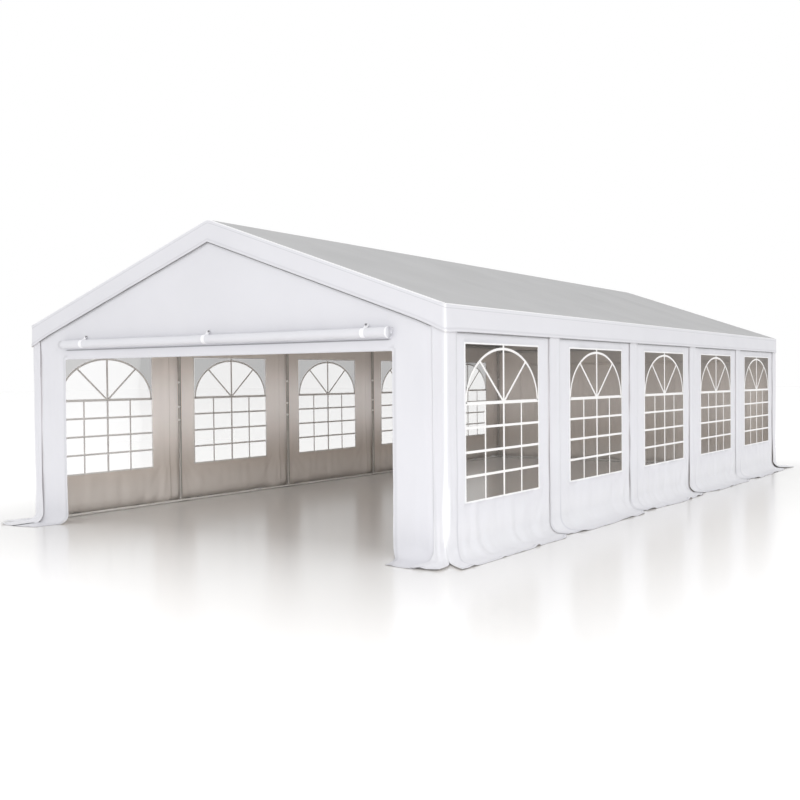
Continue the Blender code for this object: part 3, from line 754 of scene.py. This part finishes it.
def gable_rows(x):
    """Heights of a gable's rows: even shares of the way from the roof down to a level line, then steps down from it."""
    roof = roof_height(np.clip(np.abs(x), 0, WALL_X)) - 0.013
    upper = roof[None] + np.linspace(0, 1, 14)[:, None] * (LEVEL_TOP - roof)[None]
    marks = [-LEVEL_TOP, -ROLL_SHADOW_HIGH - 0.001, -ROLL_SHADOW_HIGH, -ROLL_SHADOW_LOW, -ROLL_SHADOW_LOW + 0.001, -DOOR_TOP - DOOR_HEM - 0.002,
             -DOOR_TOP - DOOR_HEM + 0.002, -DOOR_TOP, -SKIRT_TOP]
    lower = -grid_lines(marks, 0.055)[1:]
    return np.concatenate([upper, np.broadcast_to(lower[:, None], (len(lower), len(x)))])


def door_hems(across, z):
    """Shade of the stitched hems round the doorway: a line 22 mm from its edges, and a painted highlight on the band
    inside it.
    """
    past = np.maximum(across - DOOR_HALF, 0)
    above = z - DOOR_TOP
    jamb = band(past, DOOR_HEM - 0.0015, DOOR_HEM + 0.0015, 0.002) * (z < DOOR_TOP + DOOR_HEM)
    head = band(above, DOOR_HEM - 0.0015, DOOR_HEM + 0.0015, 0.002) * (across < DOOR_HALF + DOOR_HEM)
    painted_hem_highlight = np.maximum(band(past, -0.01, DOOR_HEM - 0.004, 0.002) * (z < DOOR_TOP + DOOR_HEM),
                        band(above, -0.01, DOOR_HEM - 0.004, 0.002) * (across < DOOR_HALF + DOOR_HEM))
    return 0.3 * np.maximum(jamb, head) - 0.8 * painted_hem_highlight


jamb_marks = [DOOR_HALF, DOOR_HALF + 0.003, DOOR_HALF + DOOR_HEM - 0.002, DOOR_HALF + DOOR_HEM + 0.002,
              WALL_X - CORNER_WRAP, WALL_X - CORNER_WRAP + LAP]
jamb_x = grid_lines(jamb_marks, 0.022)
door_x = grid_lines([-DOOR_HALF, -DOOR_HALF + 0.05, -0.05, 0, 0.05, DOOR_HALF - 0.05, DOOR_HALF], 0.05)
front_x = np.concatenate([-jamb_x[::-1], door_x[1:-1], jamb_x])
across = np.abs(front_x)
bend = 0.115 - 0.035 * smooth(across, 2.2, 2.33) - 0.02 * (1 - smooth(across, DOOR_HALF, DOOR_HALF + 0.1))
rounded = np.clip((across - DOOR_HALF) / 0.14, 0, 1)
reach = 0.075 + 0.225 * np.sqrt(1 - (1 - rounded) ** 2) + 0.05 * smooth(across, 2.0, 2.33)
hung = hang(gable_rows(front_x), bend, reach)
z = hung[0]
x = np.broadcast_to(front_x, z.shape)
relief = (creases(x, z, 31) + crumple(x, z, 34)) * (1 - 0.4 * smooth(z, 1.6, 2.0))
relief = relief - 0.006 * smooth(np.abs(x), WALL_X - CORNER_WRAP - 0.02, WALL_X - CORNER_WRAP)
lean = -0.085 * (1 - smooth(across, DOOR_HALF, DOOR_HALF + 0.14)) * np.sign(front_x)
plan = np.stack([x, np.full_like(x, -WALL_Y)], -1)
points = drape(plan, np.broadcast_to([0.0, -1.0], plan.shape), (0, -1), hung, -lean, relief,
               hem_lift(front_x, 37))
open_x = np.abs(front_x[1:] + front_x[:-1]) / 2 < DOOR_HALF
open_z = (z[1:] + z[:-1])[:, 1:] / 2 < DOOR_TOP
# Above 1.75 m the gable is painted whiter, painted light under the valance.
shade = lit_skirt(door_hems(np.abs(x), z) + hem_shade(hung), z) - 0.2 * smooth(z, 1.745, 1.80)
# The band between the doorway's hem and the roll is painted whiter, painted light under the roll.
painted_header_light = band(z, DOOR_TOP + DOOR_HEM + 0.003, ROLL_SHADOW_LOW - 0.003, 0.002) * (np.abs(x) < DOOR_HALF)
shade = shade - 0.95 * painted_header_light
# A dark band on the gable just under the rolled door is a painted shadow of the roll.
painted_roll_shadow = band(z, ROLL_SHADOW_LOW, ROLL_SHADOW_HIGH, 0.001) * (np.abs(x) < DOOR_HALF)
shade = np.maximum(shade, 1.3 * painted_roll_shadow)
front_gable = cloth_from("gable_front", [(points, shade, ~(open_x[None] & open_z))],
                         white_tarpaulin, lining_tarpaulin)
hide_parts("front_gable_wall")

LAST_SEAM = FIRST_SEAM + (BAYS - 1) * BAY
back_corners = [(WALL_X, LAST_SEAM), (WALL_X, WALL_Y), (-WALL_X, WALL_Y), (-WALL_X, LAST_SEAM)]
return_length = WALL_Y - LAST_SEAM
wide = return_length + 2 * WALL_X
turn_1, turn_2, last = return_length, return_length + 2 * WALL_X, 2 * return_length + 2 * WALL_X
centre_u = last / 2
back_marks = [turn_1, turn_1 + 0.04, centre_u - DOOR_HALF - DOOR_HEM, centre_u - DOOR_HALF, centre_u - 0.05,
              centre_u, centre_u + 0.05, centre_u + DOOR_HALF, centre_u + DOOR_HALF + DOOR_HEM,
              turn_2 - 0.04, turn_2]
side_u = grid_lines([0, 0.004, 0.018, 0.022, turn_1 - 0.04, turn_1], 0.014)
runs = [(side_u, (1, 0), 1), (grid_lines(back_marks, 0.05), (0, 1), 0), (last - side_u[::-1], (-1, 0), -1)]
grids = []
for columns, flap, hand in runs:
    corner_gap = np.minimum(np.abs(columns - turn_1), np.abs(columns - turn_2))
    bend = 0.13 - 0.045 * np.exp(-(corner_gap / 0.2) ** 2)
    reach = 0.25 - 0.05 * np.exp(-(np.minimum(columns, last - columns) / 0.12) ** 2)
    plan_x = np.clip(columns - centre_u, -WALL_X, WALL_X)
    hung = hang(gable_rows(plan_x), bend, reach)
    z = hung[0]
    u = np.broadcast_to(columns, z.shape)
    plan, facing = plan_path(back_corners, u, corner_radius(z))
    relief = creases(u, z, 61) + 0.007 * (np.minimum(u, last - u) < 0.22) * (hand != 0)
    falloff = np.maximum(1 - corner_gap / 0.3, 0)
    way = np.where(columns < centre_u, -1, 1) if hand == 0 else np.full(len(columns), hand)
    points = drape(plan, facing, flap, hung, 0.16 * falloff * way, relief, hem_lift(columns, 64))
    across = np.abs(columns - centre_u)
    open_u = np.abs((columns[1:] + columns[:-1]) / 2 - centre_u) < DOOR_HALF
    open_z = (z[1:] + z[:-1])[:, 1:] / 2 < DOOR_TOP
    shade = lit_skirt(door_hems(np.broadcast_to(across, z.shape), z) + hem_shade(hung), z)
    grids.append((points, shade, ~(open_u[None] & open_z)))
back_gable = cloth_from("gable_back", grids, white_tarpaulin, wall_lining)
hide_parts("back_gable_wall")

# The back door: a loose panel of the same cloth, zipped to the jambs and hung from the doorway's head.
# With nothing to stretch it, it falls in soft upright folds.
door_u = grid_lines([-DOOR_HALF - 0.02, -DOOR_HALF + 0.03, DOOR_HALF - 0.03, DOOR_HALF + 0.02], 0.028)
door_z = -grid_lines([-DOOR_TOP - 0.03, -DOOR_TOP + 0.02, -SKIRT_TOP], 0.06)
bend = 0.12 + 0.01 * waves(door_u, 0 * door_u, 0.5, 1, 70)
reach = 0.235 + 0.01 * waves(door_u, 0 * door_u, 0.4, 1, 71)
hung = hang(np.broadcast_to(door_z[:, None], (len(door_z), len(door_u))), bend, reach)
z = hung[0]
x = np.broadcast_to(door_u, z.shape)
free = smooth(DOOR_HALF - np.abs(x), 0, 0.15) * smooth(DOOR_TOP - z, 0, 0.5)
folds = 0.012 * waves(x, z, 0.26, 3.2, 72, 5) + 0.005 * waves(x, z, 0.12, 2.0, 73)
relief = folds * free - 0.0045
plan = np.stack([-x, np.full_like(x, WALL_Y)], -1)
points = drape(plan, np.broadcast_to([0.0, 1.0], plan.shape), (0, 1), hung, 0 * door_u, relief,
               hem_lift(door_u, 75))
back_door = cloth_from("door_back", [(points, lit_skirt(hem_shade(hung), z), None)], white_tarpaulin, wall_lining)
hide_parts("back_door_panel")


# The front door: the doorway's own sheet, rolled up into a tube and tied under its head with straps.
# Its top hem is sewn to the gable above the roll, and small toggles hold the straps.
ROLL_LOW, ROLL_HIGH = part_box("front_door_roll")
ROLL_Y = (ROLL_LOW.y + ROLL_HIGH.y) / 2
ROLL_Z = (ROLL_LOW.z + ROLL_HIGH.z) / 2 + 0.005
ROLL_RADIUS = (ROLL_HIGH.z - ROLL_LOW.z) / 2 - 0.003
ROLL_TURNS = 10
ROLL_CORE = 0.013
ROLL_TOP = 1.838
STRAP_X = [-1.645, -0.012, 1.722, 1.961]
STRAP_WIDTH = 0.040
GABLE_FACE = -WALL_Y - 0.004


def near_straps(x, width):
    """1 at each strap, falling off as a bell curve of the given width."""
    return sum(np.exp(-((x - strap) / width) ** 2) for strap in STRAP_X)


turn_angle = np.linspace(0, 2 * math.pi * ROLL_TURNS, 231)
along_x = grid_lines([ROLL_LOW.x, *[x + d for x in STRAP_X[:3] for d in (-0.04, 0, 0.04)], ROLL_HIGH.x + 0.014], 0.06)
x, angle = np.meshgrid(along_x, turn_angle)
radius = ROLL_CORE + (ROLL_RADIUS - 0.002 - ROLL_CORE) * angle / turn_angle[-1]
pinch = 1 - 0.10 * near_straps(x, 0.03) + 0.035 * near_straps(x, 0.16)
slack = 0.0016 * waves(x, angle, 0.5, 3.1, 81) + 0.0007 * waves(x, angle, 0.11, 2.2, 82)
radius = radius * pinch + slack * angle / turn_angle[-1]
droop = 0.0015 * (1 - near_straps(x, 0.35))
# The turns end at the back of the roll, going up, so the last of the sheet runs up the gable.
spun = angle - turn_angle[-1]
roll_y = ROLL_Y + radius * np.cos(spun)
roll_z = ROLL_Z + radius * np.sin(spun) - droop
rise = np.linspace(0, 1, 8)[1:, None]
flap_y = roll_y[-1:] + (GABLE_FACE - roll_y[-1:]) * smooth(rise, 0, 0.6) - 0.0012 * np.sin(math.pi * rise)
flap_z = roll_z[-1:] + (ROLL_TOP - roll_z[-1:]) * rise
roll_y, roll_z = np.concatenate([roll_y, flap_y]), np.concatenate([roll_z, flap_z])
x = np.broadcast_to(along_x, roll_y.shape)
stitched = np.zeros_like(roll_y)
stitched[-2:-1] = 0.5
door_sheet = cloth_from("door_front_rolled", [(np.stack([x, roll_y, roll_z], -1), stitched, None)],
                        white_tarpaulin, white_tarpaulin)
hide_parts("front_door_roll")


def strap_along(path, x, width, thickness):
    """A flat strap, square to x, carried along a path of (y, z) points: a rounded oblong of width by thickness."""
    path = np.asarray(path, float)
    way = np.gradient(path, axis=0)
    way /= np.linalg.norm(way, axis=1)[:, None]
    normal = np.stack([way[:, 1], -way[:, 0]], -1)
    flat, deep = width / 2, thickness / 2
    outline = np.array([(-flat, -deep * 0.3), (-flat + 0.001, -deep), (flat - 0.001, -deep), (flat, -deep * 0.3),
                        (flat, deep * 0.3), (flat - 0.001, deep), (-flat + 0.001, deep), (-flat, deep * 0.3)])
    yz = path[:, None] + normal[:, None] * outline[None, :, 1:]
    xs = np.broadcast_to(x + outline[None, :, :1], (len(path), len(outline), 1))
    return np.concatenate([xs, yz], -1)


webbing = tarpaulin("white_polyester_webbing", "#FAFAFD", "#C9C9C9", 0.70, 0.06)
strap_angle = np.linspace(math.radians(75), math.radians(330), 30)
straps = []
for x in STRAP_X[:3]:
    hold = ROLL_RADIUS * 0.925
    loop = np.stack([ROLL_Y + hold * np.cos(strap_angle), ROLL_Z + hold * np.sin(strap_angle)], -1)
    start = np.array([(GABLE_FACE - 0.001, ROLL_TOP + 0.032), (GABLE_FACE - 0.004, ROLL_TOP + 0.018),
                      (GABLE_FACE - 0.018, ROLL_Z + hold + 0.008)])
    straps.append((strap_along(np.concatenate([start, loop]), x, STRAP_WIDTH, 0.0024), False))
end_angle = np.linspace(0, 2 * math.pi, 36, endpoint=False)
end_loop = np.stack([ROLL_Y + 0.0455 * np.cos(end_angle), ROLL_Z + 0.0455 * np.sin(end_angle)], -1)
closed_loop = np.concatenate([end_loop, end_loop[:1]])
straps.append((strap_along(closed_loop, STRAP_X[3] - 0.006, 0.018, 0.0024), False))
door_straps = solid_from("door_straps", straps, webbing)


def plastic(name, colour, roughness):
    """Injection-moulded plastic: an even colour, with the faint orange-peel of a moulded skin."""
    material = bpy.data.materials.new(name)
    material.use_nodes = True
    tree = material.node_tree
    shader = tree.nodes["Principled BSDF"]
    shader.inputs["Roughness"].default_value = roughness
    shader.inputs["IOR"].default_value = 1.49
    where = add(tree, "ShaderNodeTexCoord")
    patch = add(tree, "ShaderNodeTexNoise", {"Scale": 60.0, "Detail": 2.0}, Vector=where.outputs["Object"])
    tone = add(tree, "ShaderNodeMix", {"data_type": "RGBA", 6: paint(colour), 7: paint("#8A8A88")})
    faint = add(tree, "ShaderNodeMapRange", {"From Min": 0.45, "From Max": 0.8, "To Max": 0.10},
                Value=patch.outputs["Fac"])
    tree.links.new(faint.outputs[0], tone.inputs["Factor"])
    tree.links.new(tone.outputs[2], shader.inputs["Base Color"])
    peel = add(tree, "ShaderNodeBump", {"Strength": 0.15, "Distance": 0.0004}, Height=patch.outputs["Fac"])
    tree.links.new(peel.outputs[0], shader.inputs["Normal"])
    return material


dark_plastic = plastic("grey_nylon_toggle", "#88888B", 0.45)
capsule = np.array([(0, 0.0015), (0.0006, 0.0036), (0.0018, 0.0054), (0.004, 0.0062), (0.009, 0.0048),
                    (0.013, 0.0048), (0.018, 0.0062), (0.0202, 0.0054), (0.0214, 0.0036), (0.022, 0.0015)])
toggles = []
for x in (-1.63, 0.0, 1.72):
    points = np.stack([x - 0.011 + capsule[:, 0], np.full(10, GABLE_FACE - 0.010), np.full(10, ROLL_TOP + 0.028)], -1)
    toggles.append((tube_along(points, capsule[:, 1], 14), False))
    ring_angle = np.linspace(0, 2 * math.pi, 18, endpoint=False)
    ring = np.stack([np.full(18, x), GABLE_FACE - 0.008 + 0.0085 * np.cos(ring_angle),
                     ROLL_TOP + 0.024 + 0.011 * np.sin(ring_angle)], -1)
    toggles.append((tube_along(ring, 0.0016, 8, closed=True), True))
door_toggles = solid_from("door_toggles", toggles, dark_plastic)


# The valance's edge cord: a grey cord in the slot between valance and wall, from strip to strip, and under the rakes.
# It is a painted shadow: a dark piece where the valance's shade falls, showing as a fine dark line under the hem.
SHADOW_CORD = 0.0031
RAKE_SHADOW_CORD = 0.0024
shadow_cord_grey = plastic("grey_painted_shadow_cord", "#7E7E80", 0.75)
HEM_Z = EAVE - VALANCE_DROP
shadow_cord_runs = []
for side in (-1, 1):
    for bay in range(1, BAYS + 1):
        start = FIRST_SEAM + BAY * (bay - 2)
        y = np.linspace(start + (CORNER_STRIP if bay == 1 else STRIP) + 0.004, start + BAY - 0.004, 12)
        hem = HEM_Z - 0.0015 - hem_sag(HALF_LENGTH - np.abs(y), 1)
        line = np.stack([np.full(12, side * (HALF_WIDTH + 0.0015)), y, hem], -1)
        shadow_cord_runs.append((tube_along(line, SHADOW_CORD, 8), False))
for facing in (-1, 1):
    x = grid_lines([-2.33, -0.01, 0, 0.01, 2.33], 0.15)
    hem = roof_height(x, 0) - VALANCE_DROP - 0.0055 - hem_sag(HALF_WIDTH - np.abs(x), 0)
    line = np.stack([x, np.full_like(x, facing * (HALF_LENGTH + 0.0015)), hem], -1)
    shadow_cord_runs.append((tube_along(line, RAKE_SHADOW_CORD, 8), False))
valance_shadow_cord = solid_from("valance_painted_shadow_cord", shadow_cord_runs, shadow_cord_grey)


# The frame: powder-coated steel tubes, 38 mm across, pushed into welded corner fittings and bolted.
# Twelve legs stand on square foot plates with two peg holes each, and thin tubes on the plates hold the walls out.
TUBE = 0.019
RAIL_SLEEVE, LEG_SLEEVE, RAFTER_SLEEVE, TIE_SLEEVE = 0.025, 0.0235, 0.022, 0.021
SLEEVE = 0.120
TIE_DROP = 0.075
PITCH = math.atan(SLOPE)
FRAME_X = (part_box("leg_right_2")[0].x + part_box("leg_right_2")[1].x) / 2
RIDGE_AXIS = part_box("ridge_rail")[1].z - RAIL_SLEEVE
EAVE_AXIS = RIDGE_AXIS - FRAME_X * math.tan(PITCH)


def powder_coat(name, colour, worn_colour, metallic):
    """Powder-coated steel: a satin skin, dulled in patches, with the orange-peel surface of melted powder.

    The real orange peel is about 2 mm from crest to crest; it is drawn at 4 mm, to show."""
    material = bpy.data.materials.new(name)
    material.use_nodes = True
    tree = material.node_tree
    shader = tree.nodes["Principled BSDF"]
    shader.inputs["Roughness"].default_value = 0.38
    shader.inputs["Metallic"].default_value = metallic
    where = add(tree, "ShaderNodeTexCoord")
    skin = add(tree, "ShaderNodeTexNoise", {"Scale": 250.0, "Detail": 1.0}, Vector=where.outputs["Object"])
    worn = add(tree, "ShaderNodeTexNoise", {"Scale": 7.0, "Detail": 5.0}, Vector=where.outputs["Object"])
    dull = add(tree, "ShaderNodeMapRange", {"From Min": 0.4, "From Max": 0.75, "To Max": 0.5},
               Value=worn.outputs["Fac"])
    tone = add(tree, "ShaderNodeMix", {"data_type": "RGBA", 6: paint(colour), 7: paint(worn_colour)},
               _0=dull.outputs[0])
    tree.links.new(tone.outputs[2], shader.inputs["Base Color"])
    peel = add(tree, "ShaderNodeBump", {"Strength": 0.12, "Distance": 0.0004}, Height=skin.outputs["Fac"])
    tree.links.new(peel.outputs[0], shader.inputs["Normal"])
    return material


coated_steel = powder_coat("grey_powder_coated_steel", "#BDBAB6", "#9C9893", 0.5)
white_coated_steel = powder_coat("white_powder_coated_steel", "#F6F5F2", "#D8D6D0", 0.0)


def rod(start, end, radius, sides=20):
    """A round tube from start to end, whose two ends are eased over 1.5 mm: radius times (cos, sin) round the line."""
    start, end = np.array(start, float), np.array(end, float)
    way = (end - start) / np.linalg.norm(end - start)
    ease = 0.0015
    stops = np.stack([start, start + ease * way, end - ease * way, end])
    return tube_along(stops, [radius - ease, radius, radius, radius - ease], sides), False


def foot_plate(x, y):
    """A 120 mm square plate, 4 mm thick, as two halves that meet on a diagonal: each runs from its hole out to its edge.

    A half's edge is the furthest point, at each angle round the hole, inside its three lines."""
    half, thick, hole, inset = 0.060, 0.004, 0.006, 0.045
    angle = np.linspace(0, 2 * math.pi, 72, endpoint=False)
    halves = []
    for hand in (-1, 1):
        centre = np.array([hand * inset, hand * inset])
        way = np.stack([np.cos(angle), np.sin(angle)], -1)
        normals = np.array([(hand, 0), (0, hand), (-hand / math.sqrt(2), -hand / math.sqrt(2))])
        gaps = np.array([half - inset, half - inset, inset * math.sqrt(2)])
        facing = way @ normals.T
        edge = np.where(facing > 1e-6, gaps / np.maximum(facing, 1e-6), 9).min(axis=1)
        outer, inner = centre + way * edge[:, None], centre + way * hole
        level = [(outer, 0.0), (outer, thick - 0.0006), (centre + way * (edge - 0.0006)[:, None], thick),
                 (inner, thick), (inner, 0.0)]
        rings = [np.concatenate([flat + (x, y), np.full((72, 1), z)], -1) for flat, z in level]
        halves.append((np.stack(rings), True))
    return halves


frame_y = LEG_Y
for side, hand in ((-1, "left"), (1, "right")):
    eave = np.array([side * FRAME_X, 0, EAVE_AXIS])
    uphill = np.array([-side * math.cos(PITCH), 0, math.sin(PITCH)])
    fittings = [rod(eave + (0, frame_y[0], 0), eave + (0, frame_y[-1], 0), TUBE)]
    for i, y in enumerate(frame_y):
        corner = eave + (0, y, 0)
        low_y = max(y - 0.08, frame_y[0] - RAIL_SLEEVE) - eave[1]
        high_y = min(y + 0.08, frame_y[-1] + RAIL_SLEEVE)
        fittings.append(rod(eave + (0, low_y, 0), eave + (0, high_y, 0), RAIL_SLEEVE))
        fittings.append(rod(corner, corner + uphill * SLEEVE, RAFTER_SLEEVE))
        fittings.append(rod(corner, corner - (0, 0, SLEEVE), LEG_SLEEVE))
        if i in (0, len(frame_y) - 1):
            tie = corner - (0, 0, TIE_DROP)
            fittings.append(rod(tie, tie - (side * 0.09, 0, 0), TIE_SLEEVE))
        ridge = np.array([0, y, RIDGE_AXIS])
        rafter = solid_from(f"rafter_tube_{hand}_{i + 1}",
                            [rod(corner + uphill * (SLEEVE - 0.02), ridge - uphill * (SLEEVE - 0.02), TUBE)],
                            coated_steel)
        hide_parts(f"rafter_{hand}_{i + 1}")
        foot = corner * (1, 1, 0)
        bead_angle = np.linspace(0, 2 * math.pi, 32, endpoint=False)
        bead = foot + np.stack([0.0195 * np.cos(bead_angle), 0.0195 * np.sin(bead_angle),
                                np.full(32, 0.0045) + 0.0004 * np.sin(bead_angle * 16)], -1)
        leg = solid_from(f"leg_tube_{hand}_{i + 1}",
                         [rod(foot + (0, 0, 0.002), corner - (0, 0, SLEEVE - 0.02), TUBE),
                          (tube_along(bead, 0.0028, 8, closed=True), True), *foot_plate(foot[0], foot[1])],
                         coated_steel)
        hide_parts(f"leg_{hand}_{i + 1}")
    rail = solid_from(f"eave_tube_{hand}", fittings, coated_steel)
    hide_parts(f"eave_rail_{hand}")

ridge_fittings = [rod((0, frame_y[0], RIDGE_AXIS), (0, frame_y[-1], RIDGE_AXIS), TUBE)]
for y in frame_y:
    low_y, high_y = max(y - 0.08, frame_y[0] - RAIL_SLEEVE), min(y + 0.08, frame_y[-1] + RAIL_SLEEVE)
    ridge_fittings.append(rod((0, low_y, RIDGE_AXIS), (0, high_y, RIDGE_AXIS), RAIL_SLEEVE))
    for side in (-1, 1):
        tip = np.array([side * math.cos(PITCH), 0, -math.sin(PITCH)]) * SLEEVE + (0, y, RIDGE_AXIS)
        ridge_fittings.append(rod((0, y, RIDGE_AXIS), tip, RAFTER_SLEEVE))
ridge_rail = solid_from("ridge_tube", ridge_fittings, coated_steel)
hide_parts("ridge_rail")

for node, axis in (("gable_tie_front", 0), ("gable_tie_back", 0), ("ground_rail_left", 1),
                   ("ground_rail_right", 1), ("ground_rail_back", 0)):
    low, high = (np.array(corner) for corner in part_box(node))
    middle, radius = (low + high) / 2, (high[2] - low[2]) / 2
    ends = np.stack([middle, middle])
    ends[:, axis] = low[axis], high[axis]
    coat = white_coated_steel if "ground" in node else coated_steel
    tube = solid_from(f"{node}_tube", [rod(ends[0], ends[1], radius)], coat)
    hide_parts(node)


# The bolts and bungees: zinc-plated dome bolts through the fittings, and elastic loops with white balls.
# The loops go round the legs and tie the wall panels to them.
zinc = bpy.data.materials.new("zinc_plated_steel")
zinc.use_nodes = True
tree = zinc.node_tree
shader = tree.nodes["Principled BSDF"]
shader.inputs["Metallic"].default_value = 1.0
shader.inputs["Roughness"].default_value = 0.32
where = add(tree, "ShaderNodeTexCoord")
spangle = add(tree, "ShaderNodeTexNoise", {"Scale": 90.0, "Detail": 2.0}, Vector=where.outputs["Object"])
tone = add(tree, "ShaderNodeMix", {"data_type": "RGBA", 6: paint("#D2D3D5"), 7: paint("#AEB0B4")},
           _0=spangle.outputs["Fac"])
tree.links.new(tone.outputs[2], shader.inputs["Base Color"])

dome = np.array([(-0.004, 0.0045), (0.0, 0.0085), (0.0012, 0.0085), (0.0013, 0.0066), (0.0034, 0.0060),
                 (0.0052, 0.0040), (0.0058, 0.0012)])
BALL = 0.015
bolts, balls, loops = [], [], []
ball_angle = np.linspace(-math.pi / 2 + 0.12, math.pi / 2 - 0.12, 12)
for side in (-1, 1):
    uphill = np.array([-side * math.cos(PITCH), 0, math.sin(PITCH)])
    for i, y in enumerate(frame_y):
        corner = np.array([side * FRAME_X, y, EAVE_AXIS])
        ridge = np.array([0, y, RIDGE_AXIS])
        inward = np.array([-side, 0.0, 0.0])
        under = np.array([-side * math.sin(PITCH), 0, -math.cos(PITCH)])
        places = [(corner - (0, 0, 0.055), inward, LEG_SLEEVE), (corner - (0, 0, 0.098), inward, LEG_SLEEVE),
                  (corner + uphill * 0.06, under, RAFTER_SLEEVE), (corner + uphill * 0.1, under, RAFTER_SLEEVE),
                  (ridge - uphill * 0.06, under, RAFTER_SLEEVE), (ridge - uphill * 0.1, under, RAFTER_SLEEVE)]
        for centre, way, radius in places:
            points = centre + way * (radius + dome[:, :1])
            bolts.append((tube_along(points, dome[:, 1], 12), False))
        for height in (1.41, 1.12, 0.965):
            centre = np.array([side * (FRAME_X - 0.022), y + (0.033 if i == 0 else -0.033), height])
            points = centre + np.array([0, 0, BALL]) * np.sin(ball_angle)[:, None]
            balls.append((tube_along(points, BALL * np.cos(ball_angle), 14), False))
            circle = np.linspace(0, 2 * math.pi, 26, endpoint=False)
            loop = np.stack([side * FRAME_X + 0.0225 * np.cos(circle), y + 0.0225 * np.sin(circle),
                             height + 0.004 * np.cos(circle + 1)], -1)
            loops.append((tube_along(loop, 0.0026, 7, closed=True), True))
frame_bolts = solid_from("frame_bolts", bolts, zinc)
ball_plastic = plastic("white_polyamide_balls", "#FBFBFA", 0.30)
bungee_balls = solid_from("bungee_balls", balls, ball_plastic)
white_elastic = plastic("white_elastic_cord", "#E6E4E0", 0.8)
bungee_loops = solid_from("bungee_loops", loops, white_elastic)
